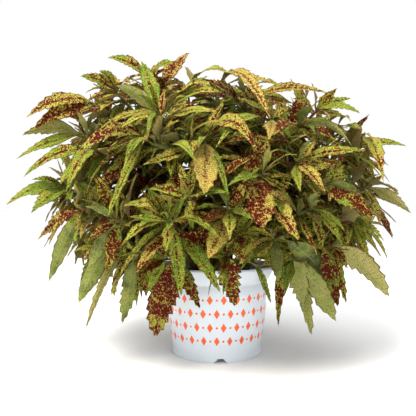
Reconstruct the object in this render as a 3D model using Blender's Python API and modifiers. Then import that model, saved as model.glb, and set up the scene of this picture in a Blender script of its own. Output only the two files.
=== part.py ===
"""A potted coleus: a white nursery pot, its soil, and a round bush of leafy stems.

Metres, +Z up. The origin is the middle of the pot's underside, on the ground. The front is -Y.
The pot and the soil are turned shapes. Each leafy stem is a square stem that branches into
shoots, with its toothed, arching leaves, fused into one body.
"""
import math
import random
from collections import namedtuple

import bmesh
import bpy
from mathutils import Matrix, Quaternion, Vector
from mathutils.bvhtree import BVHTree

OBJECT_NAME = "potted_coleus"
MM = 0.001
GAP = 0.3 * MM
UP = Vector((0.0, 0.0, 1.0))

# The pot, from its rim down
RIM_RADIUS = 82.5 * MM
RIM_HEIGHT = 123.0 * MM
LIP_HEIGHT = 4.0 * MM
LIP_OVERHANG = 1.0 * MM
RIM_ROUNDING = 1.2 * MM
RIM_CHAMFER = 0.8 * MM
INNER_LIP_DROP = 1.0 * MM
LEDGE_RISE = 0.6 * MM
COLLAR_FOOT_RADIUS = 74.2 * MM
COLLAR_FOOT_HEIGHT = 105.5 * MM
BODY_TOP_RADIUS = 70.9 * MM
BODY_TOP_HEIGHT = 103.5 * MM
BELLY_RADIUS = 68.4 * MM
BELLY_HEIGHT = 49.0 * MM
WAIST_RADIUS = 62.0 * MM
WAIST_HEIGHT = 8.5 * MM
FOOT_RADIUS = 63.0 * MM
FOOT_BEAD_HEIGHT = 5.5 * MM
FOOT_WALL = 2.2 * MM
FOOT_TAPER = 0.8 * MM
WALL = 1.6 * MM
DRAIN_RING_HEIGHT = 6.0 * MM
MIDDLE_DISC_RADIUS = 22.0 * MM
TURN_STEPS = 30
NOTCH_WIDTH = 22.0 * MM
NOTCH_TOP_WIDTH = 7.0 * MM
NOTCH_HEIGHT = 5.6 * MM
NOTCH_BEARINGS = (4.5, 94.5, 184.5, 274.5)
NOTCH_INNER_REACH = 8.0 * MM
NOTCH_OUTER_REACH = 6.0 * MM
CUT_PAST = 2.0 * MM
DRAIN_HOLE_RADIUS = 5.0 * MM
DRAIN_HOLE_SIDES = 10
DRAIN_HOLES_FROM_AXIS = 45.0 * MM
DRAIN_FROM_NOTCH = 45.0

# The soil
SOIL_EDGE_HEIGHT = 108.5 * MM
SOIL_CROWN = 3.0 * MM
SOIL_SHOULDER = (0.45, 0.8)
STEM_HOLE_DEPTH = 22.0 * MM
STEM_HOLE_SIDES = 6
STEM_HOLE_EASE = 0.3 * MM

# The view that the measures were read in: the eye's place and the size of one pixel of the
# 416 x 416 photograph on the plane through the pot's axis
EYE = Vector((0.0, -724.0 * MM, 203.6 * MM))
PIXEL = 1.422 * MM
AXIS_PIXEL = 216.8
EYE_LEVEL_PIXEL = 209.1
SIGHT_START = 0.5
SIGHT_STEP = 0.0025
SIGHT_STEPS = 240

# The crown: the egg that the shoot tips lie on, and how much further the leaf tips reach
CROWN_SPREAD = 206.0 * MM
CROWN_DEPTH = 0.93
CROWN_MIDDLE = 207.0 * MM
CROWN_RISE = 158.0 * MM
CROWN_DROP = 118.0 * MM
LEAF_REACH = 1.36
SEEN_LEAF_REACH = 1.24
LOWEST_LEAF = 6.0 * MM
GROWTH_TILT = 0.55
GROWTH_LIFT = 60.0 * MM

# The stems
STEM_RADIUS = 3.0 * MM
SHOOT_RADIUS = 2.1 * MM
TIP_SHARE = 0.62
STEM_BASE_SPREAD = 50.0 * MM
STEM_BASE_LIMIT = 58.0 * MM
STEM_BASE_SPACING = 11.5 * MM
SPACING_ROUNDS = 60
HIGH_STEM_REACH = 0.30
FAR_TIP_SHARE = 0.8
STEM_POINTS = 6
STEM_RISE_SHARE = 0.45
STEM_LAST_SHARE = 0.35
RIM_CLEARANCE = 46.0 * MM
SWINGS = (0, 6, -6, 12, -12, 20, -20)
SHOOT_POINTS = 4
SHOOT_LENGTH = 90.0 * MM
SHOOT_FIRST_SHARE = 0.35
SHOOT_FIRST_LIFT = 0.5
SHOOT_LAST_SHARE = 0.3
SHOOT_STARTS = 3
NEAREST_STEMS = 3
STEM_SEARCH_SHARE = 0.35

# The leaves
BLADE_THICKNESS = 1.5 * MM
PETIOLE_HALF_WIDTH = 1.3 * MM
CLEARANCE = 1.1 * MM
ROOT_DEPTH = 0.4 * MM
PETIOLE_END = 0.07
BLADE_START = 0.2
# An outline's margin points, as place along the leaf and share of the widest half-width, and
# the places of its midrib's points. Long leaves end in a drawn-out tip, blunt ones hang.
Outline = namedtuple("Outline", "margin midrib")
LARGE_MIDRIB = (0.07, 0.46, 0.76)
SMALL_MIDRIB = (0.07, 0.55)
OUTLINES = {
    "large_long": Outline(((0.29, 0.64), (0.46, 1.00), (0.52, 0.76), (0.63, 0.80), (0.69, 0.50),
                           (0.84, 0.30)), LARGE_MIDRIB),
    "large_blunt": Outline(((0.34, 0.44), (0.58, 0.96), (0.63, 0.80), (0.75, 1.00), (0.80, 0.74),
                            (0.91, 0.56)), LARGE_MIDRIB),
    "small_long": Outline(((0.31, 0.68), (0.47, 1.00), (0.54, 0.70), (0.67, 0.70), (0.74, 0.40)),
                          SMALL_MIDRIB),
    "small_blunt": Outline(((0.34, 0.46), (0.62, 1.00), (0.68, 0.76), (0.80, 0.84), (0.87, 0.52)),
                           SMALL_MIDRIB),
}
BLUNT_DROP = 0.6

# Shoots seen from the front: right and down in the photograph, and whether a stem leads to it
SeenShoot = namedtuple("SeenShoot", "right down leads")
SEEN_SHOOTS = [SeenShoot(*row) for row in (
    (150, 80, True), (158, 116, False), (114, 92, True), (97, 107, False), (82, 136, True),
    (92, 152, False), (144, 140, False), (66, 190, False), (82, 212, False), (114, 222, True),
    (102, 252, False), (126, 262, False), (168, 224, True), (166, 262, False), (187, 92, False),
    (218, 90, True), (204, 138, True), (190, 200, False), (229, 210, True), (240, 236, False),
    (262, 176, False), (228, 258, False), (248, 96, False), (272, 120, True), (300, 128, False),
    (298, 162, False), (324, 186, True), (313, 210, False), (286, 238, True), (334, 248, True),
    (306, 264, False), (318, 112, True), (336, 132, False), (358, 147, True), (366, 188, False),
    (356, 222, False), (262, 268, False),
)]

# Leaves seen from the front: base and tip in the photograph, width in mm as it shows on the
# plane through the pot's axis, how far the middle rises over the straight line (share of the
# length), and which way the upper side faces
SeenLeaf = namedtuple("SeenLeaf", "base tip width arch face")
SEEN_LEAVES = [SeenLeaf(*row) for row in (
    ((141, 72), (108, 58), 22, 0.10, "up"), ((149, 77), (173, 66), 18, 0.16, "up"),
    ((157, 115), (141, 60), 25, 0.00, "front"), ((125, 88), (100, 72), 22, 0.12, "up"),
    ((112, 92), (80, 78), 24, 0.10, "up"), ((100, 100), (25, 119), 26, 0.16, "up"),
    ((96, 110), (30, 131), 30, 0.10, "front"), ((80, 136), (21, 137), 28, 0.10, "under"),
    ((66, 142), (14, 159), 17, 0.06, "up"), ((90, 150), (21, 178), 26, 0.14, "up"),
    ((72, 178), (4, 205), 24, 0.10, "up"), ((68, 192), (30, 216), 30, 0.08, "front"),
    ((78, 205), (37, 242), 22, 0.08, "front"), ((90, 152), (65, 194), 24, 0.16, "front"),
    ((74, 226), (48, 284), 24, 0.08, "under"), ((82, 240), (79, 294), 24, 0.00, "front"),
    ((112, 222), (88, 271), 27, 0.10, "under"), ((104, 258), (78, 306), 26, 0.08, "under"),
    ((118, 274), (84, 331), 14, 0.10, "under"), ((132, 268), (122, 325), 24, 0.06, "under"),
    ((164, 272), (152, 340), 44, 0.00, "front"), ((172, 288), (174, 332), 26, 0.00, "front"),
    ((172, 236), (181, 299), 22, 0.06, "front"), ((169, 240), (115, 281), 23, 0.12, "up"),
    ((122, 228), (106, 276), 22, 0.05, "front"), ((164, 223), (119, 250), 24, 0.16, "up"),
    ((144, 139), (75, 155), 28, 0.20, "front"), ((161, 120), (221, 94), 22, 0.12, "up"),
    ((171, 104), (210, 84), 22, 0.14, "up"), ((188, 92), (228, 74), 20, 0.12, "up"),
    ((212, 90), (271, 116), 28, 0.18, "front"), ((166, 123), (216, 112), 20, 0.06, "up"),
    ((159, 124), (121, 128), 17, 0.10, "up"), ((204, 138), (257, 153), 28, 0.28, "front"),
    ((170, 155), (195, 161), 18, 0.10, "up"), ((197, 158), (204, 195), 42, 0.00, "front"),
    ((261, 177), (262, 231), 44, 0.00, "front"), ((276, 124), (269, 138), 22, 0.00, "front"),
    ((302, 128), (275, 133), 24, 0.06, "front"), ((297, 163), (325, 195), 24, 0.06, "front"),
    ((298, 166), (300, 192), 17, 0.00, "front"), ((325, 187), (373, 220), 34, 0.06, "front"),
    ((356, 146), (384, 183), 27, 0.22, "front"), ((312, 157), (366, 154), 20, 0.08, "up"),
    ((371, 154), (405, 148), 14, 0.06, "up"), ((370, 166), (398, 197), 28, 0.08, "under"),
    ((366, 188), (411, 215), 18, 0.05, "under"), ((357, 221), (388, 260), 18, 0.05, "up"),
    ((333, 250), (389, 297), 38, 0.10, "under"), ((341, 254), (345, 305), 18, 0.00, "front"),
    ((320, 258), (338, 309), 24, 0.04, "front"), ((284, 247), (337, 291), 37, 0.08, "under"),
    ((304, 272), (336, 322), 34, 0.06, "under"), ((309, 282), (312, 337), 22, 0.04, "under"),
    ((296, 274), (303, 308), 28, 0.04, "under"), ((273, 283), (278, 328), 13, 0.06, "front"),
    ((265, 276), (271, 305), 11, 0.04, "up"), ((196, 276), (200, 311), 18, 0.00, "front"),
    ((232, 262), (235, 309), 31, 0.04, "front"), ((193, 248), (221, 294), 21, 0.06, "front"),
    ((204, 238), (208, 261), 31, 0.00, "front"), ((227, 212), (230, 241), 20, 0.04, "front"),
    ((184, 220), (220, 241), 16, 0.14, "up"), ((238, 235), (243, 262), 19, 0.04, "front"),
    ((230, 212), (211, 190), 18, 0.12, "up"), ((313, 209), (342, 246), 20, 0.08, "up"),
    ((290, 231), (337, 263), 20, 0.08, "up"), ((316, 112), (336, 91), 16, 0.00, "front"),
    ((330, 114), (350, 101), 15, 0.06, "up"), ((318, 115), (359, 114), 16, 0.10, "up"),
    ((250, 88), (280, 90), 14, 0.12, "up"), ((240, 92), (271, 81), 16, 0.06, "up"),
    ((228, 88), (238, 76), 14, 0.08, "up"), ((272, 106), (328, 96), 20, 0.10, "up"),
    ((301, 129), (354, 147), 20, 0.16, "under"), ((336, 131), (361, 133), 22, 0.05, "front"),
    ((127, 190), (94, 177), 22, 0.10, "front"), ((246, 128), (215, 148), 20, 0.14, "up"),
    ((134, 119), (116, 87), 24, 0.08, "under"), ((172, 96), (152, 75), 22, 0.04, "front"),
    ((98, 172), (67, 196), 20, 0.10, "under"), ((282, 258), (278, 284), 20, 0.04, "under"),
    ((293, 126), (311, 108), 18, 0.08, "under"), ((305, 216), (321, 230), 18, 0.06, "front"),
    ((332, 178), (365, 200), 16, 0.10, "under"), ((67, 164), (31, 181), 14, 0.08, "front"),
    ((171, 214), (147, 189), 14, 0.04, "front"), ((164, 252), (146, 296), 14, 0.05, "front"),
    ((145, 254), (143, 276), 14, 0.04, "front"), ((350, 214), (383, 243), 12, 0.08, "up"),
    ((351, 222), (368, 258), 12, 0.04, "front"), ((164, 117), (185, 97), 12, 0.08, "up"),
    ((84, 146), (76, 112), 11, 0.04, "front"), ((80, 142), (32, 147), 11, 0.08, "under"),
    ((127, 129), (98, 131), 10, 0.10, "up"), ((181, 134), (225, 123), 10, 0.10, "up"),
    ((345, 221), (347, 249), 10, 0.04, "front"), ((306, 286), (302, 314), 10, 0.04, "front"),
    ((132, 271), (141, 300), 10, 0.04, "front"), ((264, 106), (238, 76), 8, 0.04, "front"),
)]

# How the seen leaves are set
FACES = {"front": Vector((0.0, -0.90, 0.44)), "under": Vector((0.0, 0.80, 0.60)),
         "up": Vector((0.0, -0.42, 0.91))}
SEEN_FACE_TURN = 12.0
SEEN_FOLDS = (0.12, 0.30)
AXIL_DEPTH = 6.0 * MM
LOWEST_AXIL = 12.0 * MM
LARGE_FROM = 17
SIGHT_SHIFTS = (0, 8, -8, 16, -16, 26, -24, 36, -34, 50, 65)
BEND_SHIFT_SHARE = 0.6
SEEN_SEED = 5000

# Shoots that the front doesn't show
HIDDEN_SHOOTS = 25
HIDDEN_LEADERS_EVERY = 3
HIGHEST_HIDDEN = 1.0
HIDDEN_SPAN = 1.5
GOLDEN_ANGLE = 137.508
FRONT_SECTOR = 64.0

# Leaves in opposite pairs down a shoot, by the pair's number from the tip. Angles in degrees.
FIRST_PAIR = 5.0 * MM
PAIR_SPACING = 17.0 * MM
PAIR_LENGTHS = {1: 92.0 * MM, 2: 112.0 * MM}
PAIR_SPREADS = {1: 62.0, 2: 84.0}
PAIR_WIDTH_SHARE = 0.27
SEEN_SHOOT_PAIRS = (1,)
HIDDEN_SHOOT_PAIRS = (1, 2)
PAIR_SIDES = {1: (0, 1), 2: (0,)}
TRIES = 9
SHOOT_TURN = 47.0
TURN_RANGE = 14.0
TURN_WIDENING = 0.4
SPREAD_RANGE = 12.0
LENGTH_RANGE = (0.82, 1.16)
SHORTER_EACH_TRY = 0.93
INWARD_SHARE = 0.4
INWARD_LENGTH = 0.78
DROOP_RANGE = (0.35, 1.0)
FIRST_DROOP = 0.4
DROOP_PER_PAIR = 0.25
FACE_LIFT = 0.7
ALONG_LEAF = 0.85
ALONG_LEAF_TURN = 0.3
FACE_RANGE = 22.0
WIDTH_RANGE = (0.85, 1.3)
PAIR_FOLDS = (0.12, 0.35)
STEEP = 0.95
PAIR_SEED = 100

# Where a leaf is looked at to see whether it hides a seen one: along it, and across it
SIGHT_CHECKS = [(along, across) for along in (0.35, 0.55, 0.75, 0.95) for across in (-0.6, 0.6)]
MOST_HIDING = 1

Shoot = namedtuple("Shoot", "points stem tube number seen")
Placed = namedtuple("Placed", "low high tree stem shoot")
Leaf = namedtuple("Leaf", "start bend end face half_width fold outline shoot")


def clear_scene():
    for obj in list(bpy.data.objects):
        bpy.data.objects.remove(obj, do_unlink=True)


def collection_named(name):
    found = bpy.data.collections.new(name)
    bpy.context.scene.collection.children.link(found)
    return found


def material(name, colour, roughness, metallic=0.0):
    made = bpy.data.materials.new(name)
    made.use_nodes = True
    shader = made.node_tree.nodes["Principled BSDF"]
    shader.inputs["Base Color"].default_value = (*colour, 1.0)
    shader.inputs["Roughness"].default_value = roughness
    shader.inputs["Metallic"].default_value = metallic
    made.diffuse_color = (*colour, 1.0)
    return made


def object_from(name, points, faces, collection):
    mesh = bpy.data.meshes.new(name)
    mesh.from_pydata([tuple(point) for point in points], [], faces)
    mesh.update()
    made = bpy.data.objects.new(name, mesh)
    collection.objects.link(made)
    return made


def apply_modifiers(obj):
    """Puts what the object's modifiers make into its own mesh."""
    graph = bpy.context.evaluated_depsgraph_get()
    made = bpy.data.meshes.new_from_object(obj.evaluated_get(graph))
    obj.modifiers.clear()
    obj.data = made


def as_cutter(obj):
    obj.hide_render = True
    obj.display_type = "WIRE"


def turned(name, profile, steps, collection):
    """A solid of revolution round Z from a profile of (radius, height), inner side first."""
    points = [(radius, 0.0, height) for radius, height in profile]
    edges = [(i, i + 1) for i in range(len(points) - 1)]
    mesh = bpy.data.meshes.new(name)
    mesh.from_pydata(points, edges, [])
    made = bpy.data.objects.new(name, mesh)
    collection.objects.link(made)
    screw = made.modifiers.new("turn", "SCREW")
    screw.steps = steps
    screw.render_steps = steps
    screw.use_merge_vertices = True
    screw.merge_threshold = 0.01 * MM
    return made


def pot_outside():
    """The pot's outer side from the rim down, as (radius, height)."""
    return [
        (RIM_RADIUS - RIM_ROUNDING, RIM_HEIGHT),
        (RIM_RADIUS, RIM_HEIGHT - RIM_CHAMFER),
        (RIM_RADIUS, RIM_HEIGHT - LIP_HEIGHT + RIM_CHAMFER),
        (RIM_RADIUS - LIP_OVERHANG, RIM_HEIGHT - LIP_HEIGHT),
        (COLLAR_FOOT_RADIUS, COLLAR_FOOT_HEIGHT),
        (BODY_TOP_RADIUS, BODY_TOP_HEIGHT),
        (BELLY_RADIUS, BELLY_HEIGHT),
        (WAIST_RADIUS, WAIST_HEIGHT),
        (FOOT_RADIUS, FOOT_BEAD_HEIGHT),
        (FOOT_RADIUS - FOOT_TAPER, 0.0),
    ]


def pot_inside(clearance):
    """The pot's inner side from the floor's middle up to the rim, moved in by the clearance."""
    floor = DRAIN_RING_HEIGHT + WALL + clearance
    inset = WALL + clearance
    return [
        (0.0, WALL + clearance),
        (MIDDLE_DISC_RADIUS - inset, WALL + clearance),
        (MIDDLE_DISC_RADIUS, floor),
        (WAIST_RADIUS - inset, floor),
        (BELLY_RADIUS - inset, BELLY_HEIGHT),
        (BODY_TOP_RADIUS - inset, BODY_TOP_HEIGHT),
        (COLLAR_FOOT_RADIUS - inset, COLLAR_FOOT_HEIGHT + LEDGE_RISE + clearance),
        (RIM_RADIUS - LIP_OVERHANG - inset, RIM_HEIGHT - INNER_LIP_DROP),
    ]


def make_pot(collection, cutters):
    underside = [
        (FOOT_RADIUS - FOOT_TAPER - FOOT_WALL, 0.0),
        (FOOT_RADIUS - 2 * FOOT_TAPER - FOOT_WALL, DRAIN_RING_HEIGHT),
        (MIDDLE_DISC_RADIUS + WALL, DRAIN_RING_HEIGHT),
        (MIDDLE_DISC_RADIUS, 0.0),
        (0.0, 0.0),
    ]
    pot = turned("pot", pot_inside(0.0) + pot_outside() + underside, TURN_STEPS, collection)
    for bearing in NOTCH_BEARINGS:
        cut(pot, notch_cutter(bearing, cutters))
        cut(pot, drain_cutter(bearing + DRAIN_FROM_NOTCH, cutters))
    apply_modifiers(pot)
    pot.data.materials.append(material("white_plastic", (0.80, 0.82, 0.86), 0.35))
    pot.data.shade_smooth()
    pot.data.set_sharp_from_angle(angle=math.radians(35.0))
    return pot


def notch_cutter(bearing, cutters):
    """A wedge through the foot, wide below and narrow above."""
    low, high = NOTCH_WIDTH / 2, NOTCH_TOP_WIDTH / 2
    near, far = FOOT_RADIUS - NOTCH_INNER_REACH, FOOT_RADIUS + NOTCH_OUTER_REACH
    outline = ((-low, -CUT_PAST), (low, -CUT_PAST), (high, NOTCH_HEIGHT), (-high, NOTCH_HEIGHT))
    points = [(x, -far, z) for x, z in outline] + [(x, -near, z) for x, z in outline]
    faces = [(0, 1, 2, 3), (7, 6, 5, 4), (0, 4, 5, 1), (1, 5, 6, 2), (2, 6, 7, 3), (3, 7, 4, 0)]
    cutter = object_from("notch_cutter", points, faces, cutters)
    cutter.data.transform(Matrix.Rotation(math.radians(bearing), 4, "Z"))
    as_cutter(cutter)
    return cutter


def drain_cutter(bearing, cutters):
    angle = math.radians(bearing)
    middle = Vector((math.sin(angle), -math.cos(angle), 0.0)) * DRAIN_HOLES_FROM_AXIS
    place = Matrix.Translation(middle + UP * (DRAIN_RING_HEIGHT + WALL / 2))
    return cylinder_cutter("drain_cutter", place, DRAIN_HOLE_RADIUS, WALL + 2 * CUT_PAST,
                           DRAIN_HOLE_SIDES, cutters)


def cylinder_cutter(name, place, radius, height, sides, cutters):
    mesh = bpy.data.meshes.new(name)
    shape = bmesh.new()
    bmesh.ops.create_cone(shape, cap_ends=True, segments=sides, radius1=radius, radius2=radius,
                          depth=height, matrix=place)
    shape.to_mesh(mesh)
    shape.free()
    made = bpy.data.objects.new(name, mesh)
    cutters.objects.link(made)
    as_cutter(made)
    return made


def cut(obj, cutter):
    modifier = obj.modifiers.new(cutter.name, "BOOLEAN")
    modifier.operation = "DIFFERENCE"
    modifier.object = cutter


def make_soil(collection, cutters, bases):
    inside = pot_inside(GAP)
    (foot, foot_height), (rim, rim_height) = inside[-2:]
    edge_radius = foot + (rim - foot) * (SOIL_EDGE_HEIGHT - foot_height) / (rim_height - foot_height)
    profile = [
        (0.0, SOIL_EDGE_HEIGHT + SOIL_CROWN),
        (SOIL_SHOULDER[0] * edge_radius, SOIL_EDGE_HEIGHT + SOIL_SHOULDER[1] * SOIL_CROWN),
        (edge_radius, SOIL_EDGE_HEIGHT),
    ] + inside[-2::-1]
    soil = turned("soil", profile, TURN_STEPS, collection)
    hole_radius = (STEM_RADIUS + GAP) / math.cos(math.pi / STEM_HOLE_SIDES) + STEM_HOLE_EASE
    for base in bases:
        bottom = SOIL_EDGE_HEIGHT - STEM_HOLE_DEPTH - GAP
        top = SOIL_EDGE_HEIGHT + 2 * SOIL_CROWN
        place = Matrix.Translation((base.x, base.y, (bottom + top) / 2))
        cut(soil, cylinder_cutter("stem_hole", place, hole_radius, top - bottom,
                                  STEM_HOLE_SIDES, cutters))
    apply_modifiers(soil)
    soil.data.materials.append(material("potting_mix", (0.05, 0.033, 0.022), 0.95))
    return soil


def crown_share(point):
    """How far out of the crown's middle a point lies: 1 on the egg of the shoot tips."""
    height = point.z - CROWN_MIDDLE
    tall = CROWN_RISE if height > 0 else CROWN_DROP
    return math.sqrt((point.x / CROWN_SPREAD) ** 2
                     + (point.y / (CROWN_SPREAD * CROWN_DEPTH)) ** 2 + (height / tall) ** 2)


def seen_point(right, down, share):
    """Where the line of sight through a pixel first meets the crown, or passes nearest to it."""
    on_plane = Vector(((right - AXIS_PIXEL) * PIXEL, 0.0,
                       EYE.z - (down - EYE_LEVEL_PIXEL) * PIXEL))
    best, best_share = None, 1e9
    for step in range(SIGHT_STEPS):
        point = EYE.lerp(on_plane, SIGHT_START + step * SIGHT_STEP)
        reached = crown_share(point)
        if reached < best_share:
            best, best_share = point, reached
        if reached <= share:
            break
    return best


def crown_point(bearing, height):
    """The point of the crown at a bearing from the front and a height share from -1 to 1."""
    tall = CROWN_RISE if height > 0 else CROWN_DROP
    across = math.sqrt(max(0.0, 1.0 - height * height))
    angle = math.radians(bearing)
    return Vector((math.sin(angle) * across * CROWN_SPREAD,
                   -math.cos(angle) * across * CROWN_SPREAD * CROWN_DEPTH,
                   CROWN_MIDDLE + height * tall))


def outward(point):
    """The way a shoot grows at a place on the crown: out from the middle, and up."""
    away = Vector((point.x, point.y, GROWTH_TILT * (point.z - CROWN_MIDDLE) + GROWTH_LIFT))
    return away.normalized()


def curve_points(start, first, second, end, count):
    made = []
    for i in range(count):
        t = i / (count - 1)
        made.append(start * (1 - t) ** 3 + first * (3 * t * (1 - t) ** 2)
                    + second * (3 * t * t * (1 - t)) + end * t ** 3)
    return made


def stem_base(tip):
    """Where a stem leaves the soil: low outer heads from the edge, high ones from the middle."""
    flat = Vector((tip.x, tip.y, 0.0))
    lowness = 1.0 - max(0.0, tip.z - CROWN_MIDDLE) / CROWN_RISE
    farness = min(1.0, flat.length / (FAR_TIP_SHARE * CROWN_SPREAD))
    reach = STEM_BASE_SPREAD * (HIGH_STEM_REACH + (1.0 - HIGH_STEM_REACH) * lowness) * farness
    return flat.normalized() * reach + UP * SOIL_EDGE_HEIGHT


def spaced_bases(tips):
    """The stems' places in the soil, pushed apart until no two are close."""
    bases = [stem_base(tip) for tip in tips]
    for _ in range(SPACING_ROUNDS):
        for i, base in enumerate(bases):
            for other in bases[i + 1:]:
                apart = other - base
                short = STEM_BASE_SPACING - apart.length
                if short > 0:
                    push = apart.normalized() * (short / 2)
                    other += push
                    base -= push
        for base in bases:
            flat = Vector((base.x, base.y, 0.0))
            if flat.length > STEM_BASE_LIMIT:
                flat = flat.normalized() * STEM_BASE_LIMIT
            base.x, base.y = flat.x, flat.y
    return bases


def leader_points(base, tip, swing):
    """A stem's points from its foot in the soil to its tip, swung sideways on the way."""
    length = (tip - base).length
    rise = max(STEM_RISE_SHARE * (tip.z - base.z), RIM_CLEARANCE)
    late = tip - outward(tip) * STEM_LAST_SHARE * length
    late.rotate(Quaternion(UP, swing))
    bent = curve_points(base, base + UP * rise, late, tip, STEM_POINTS)
    foot = base - UP * STEM_HOLE_DEPTH
    return [foot] + bent


def shoot_points(leader, tip, skip):
    """A side shoot's points, from one of the places on the leader nearest to its usual length."""
    rest = sorted(leader[2:-1], key=lambda point: abs((tip - point).length - SHOOT_LENGTH))
    start = rest[min(skip, len(rest) - 1)]
    length = (tip - start).length
    toward = (tip - start).normalized()
    rooted = start - toward * ROOT_DEPTH
    first = start + (toward + UP * SHOOT_FIRST_LIFT).normalized() * SHOOT_FIRST_SHARE * length
    last = tip - outward(tip) * SHOOT_LAST_SHARE * length
    return curve_points(rooted, first, last, tip, SHOOT_POINTS)


def tube(points, radius, name, collection):
    """A square stem along the points, thinner towards its tip, as a closed mesh object."""
    curve = bpy.data.curves.new(name, "CURVE")
    curve.dimensions = "3D"
    curve.bevel_depth = radius
    curve.bevel_resolution = 0
    curve.use_fill_caps = True
    spline = curve.splines.new("POLY")
    spline.points.add(len(points) - 1)
    for i, point in enumerate(points):
        spline.points[i].co = (*point, 1.0)
        spline.points[i].radius = 1.0 - (1.0 - TIP_SHARE) * i / (len(points) - 1)
    guide = bpy.data.objects.new(name, curve)
    collection.objects.link(guide)
    graph = bpy.context.evaluated_depsgraph_get()
    mesh = bpy.data.meshes.new_from_object(guide.evaluated_get(graph))
    bpy.data.objects.remove(guide, do_unlink=True)
    weld(mesh)
    made = bpy.data.objects.new(name, mesh)
    collection.objects.link(made)
    return made


def weld(mesh):
    shape = bmesh.new()
    shape.from_mesh(mesh)
    bmesh.ops.remove_doubles(shape, verts=shape.verts, dist=0.01 * MM)
    bmesh.ops.recalc_face_normals(shape, faces=shape.faces)
    shape.to_mesh(mesh)
    shape.free()


def tree_of(points, faces):
    return BVHTree.FromPolygons([tuple(point) for point in points], faces)


def leaf_place(leaf, along):
    """The midrib's point there, and the ways along, across and out of the upper side."""
    there = (leaf.start * (1 - along) ** 2 + leaf.bend * (2 * along * (1 - along))
             + leaf.end * along ** 2)
    way = (leaf.bend - leaf.start) * (1 - along) + (leaf.end - leaf.bend) * along
    way.normalize()
    chord = (leaf.end - leaf.start).normalized()
    out = (leaf.face - chord * leaf.face.dot(chord)).normalized()
    out.rotate(chord.rotation_difference(way))
    return there, way, way.cross(out).normalized(), out


def on_chords(leaf, stations, along):
    """The point of the straight runs between the midrib's stations, so that each half is flat."""
    places = [0.0, *stations, 1.0]
    for low, high in zip(places, places[1:]):
        if along <= high:
            share = (along - low) / (high - low)
            return leaf_place(leaf, low)[0].lerp(leaf_place(leaf, high)[0], share)
    return leaf.end


def leaf_mesh(leaf, grown=0.0, from_along=0.0):
    """The leaf's points and triangles. Both faces share the margin and are split alike."""
    margin, midrib = OUTLINES[leaf.outline]
    widths = [(PETIOLE_END, PETIOLE_HALF_WIDTH)]
    widths += [(along, share * leaf.half_width) for along, share in margin]
    points = [on_chords(leaf, midrib, from_along), leaf.end]
    chains = {}
    for name, sign in (("left", -1.0), ("right", 1.0)):
        chains[name] = [(from_along, 0)]
        for along, width in widths:
            if along > from_along:
                _, _, across, out = leaf_place(leaf, along)
                chains[name].append((along, len(points)))
                points.append(on_chords(leaf, midrib, along) + across * (sign * (width + grown))
                              + out * (leaf.fold * width))
        chains[name].append((1.0, 1))
    for name, sign in (("over", 1.0), ("under", -1.0)):
        chains[name] = [(from_along, 0)]
        for along in midrib:
            if along > from_along:
                there, _, _, out = leaf_place(leaf, along)
                chains[name].append((along, len(points)))
                points.append(there + out * (sign * (BLADE_THICKNESS / 2 + grown)))
        chains[name].append((1.0, 1))
    faces = []
    for side, flip in (("left", False), ("right", True)):
        faces += strip(chains[side], chains["over"], flip)
        faces += strip(chains[side], chains["under"], not flip)
    return points, faces


def strip(side, middle, flip):
    """Triangles between the margin's points and the midrib's, in step along the leaf."""
    faces = []
    i = j = 0
    while i < len(side) - 1 or j < len(middle) - 1:
        ahead = side[i + 1][0] if i < len(side) - 1 else 2.0
        beside = middle[j + 1][0] if j < len(middle) - 1 else 2.0
        if ahead <= beside:
            face = (side[i][1], side[i + 1][1], middle[j][1])
            i += 1
        else:
            face = (side[i][1], middle[j + 1][1], middle[j][1])
            j += 1
        if len(set(face)) == 3:
            faces.append(face if flip else face[::-1])
    return faces


def box_of(points):
    low = [min(point[i] for point in points) for i in range(3)]
    high = [max(point[i] for point in points) for i in range(3)]
    return low, high


def meets(points, faces, others):
    """Whether a shape crosses any of those placed."""
    low, high = box_of(points)
    tree = None
    for other in others:
        if any(low[i] > other.high[i] or high[i] < other.low[i] for i in range(3)):
            continue
        tree = tree or tree_of(points, faces)
        if tree.overlap(other.tree):
            return True
    return False


def is_clear(leaf, stem, placed):
    """Whether the leaf keeps clear of other stems all along, and its blade of its own stem too."""
    points, faces = leaf_mesh(leaf, CLEARANCE, PETIOLE_END / 2)
    if min(point.z for point in points) < LOWEST_LEAF:
        return False
    if meets(points, faces, [p for p in placed if p.stem != stem]):
        return False
    points, faces = leaf_mesh(leaf, CLEARANCE, BLADE_START)
    return not meets(points, faces, [p for p in placed if p.stem == stem and p.shoot != leaf.shoot])


def place(points, faces, stem, shoot, placed):
    low, high = box_of(points)
    placed.append(Placed(low, high, tree_of(points, faces), stem, shoot))


def place_mesh(mesh, stem, shoot, placed):
    points = [vertex.co.copy() for vertex in mesh.vertices]
    place(points, [tuple(polygon.vertices) for polygon in mesh.polygons], stem, shoot, placed)


def nearest_on_shoots(shoots, target):
    """The shoot and the point on its stem that are nearest to a place."""
    best = None
    for shoot in shoots:
        for i in range(1, len(shoot.points) - 1):
            a, b = shoot.points[i], shoot.points[i + 1]
            way = b - a
            share = max(0.0, min(1.0, (target - a).dot(way) / way.length_squared))
            point = a + way * share
            if point.z < SOIL_EDGE_HEIGHT + LOWEST_AXIL:
                continue
            far = (target - point).length
            if best is None or far < best[0]:
                best = (far, shoot, point)
    return best[1], best[2]


def outline_of(size, start, end):
    """Leaves that hang are blunt, and the others long."""
    hangs = start.z - end.z > BLUNT_DROP * (end - start).length
    return size + ("_blunt" if hangs else "_long")


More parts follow.
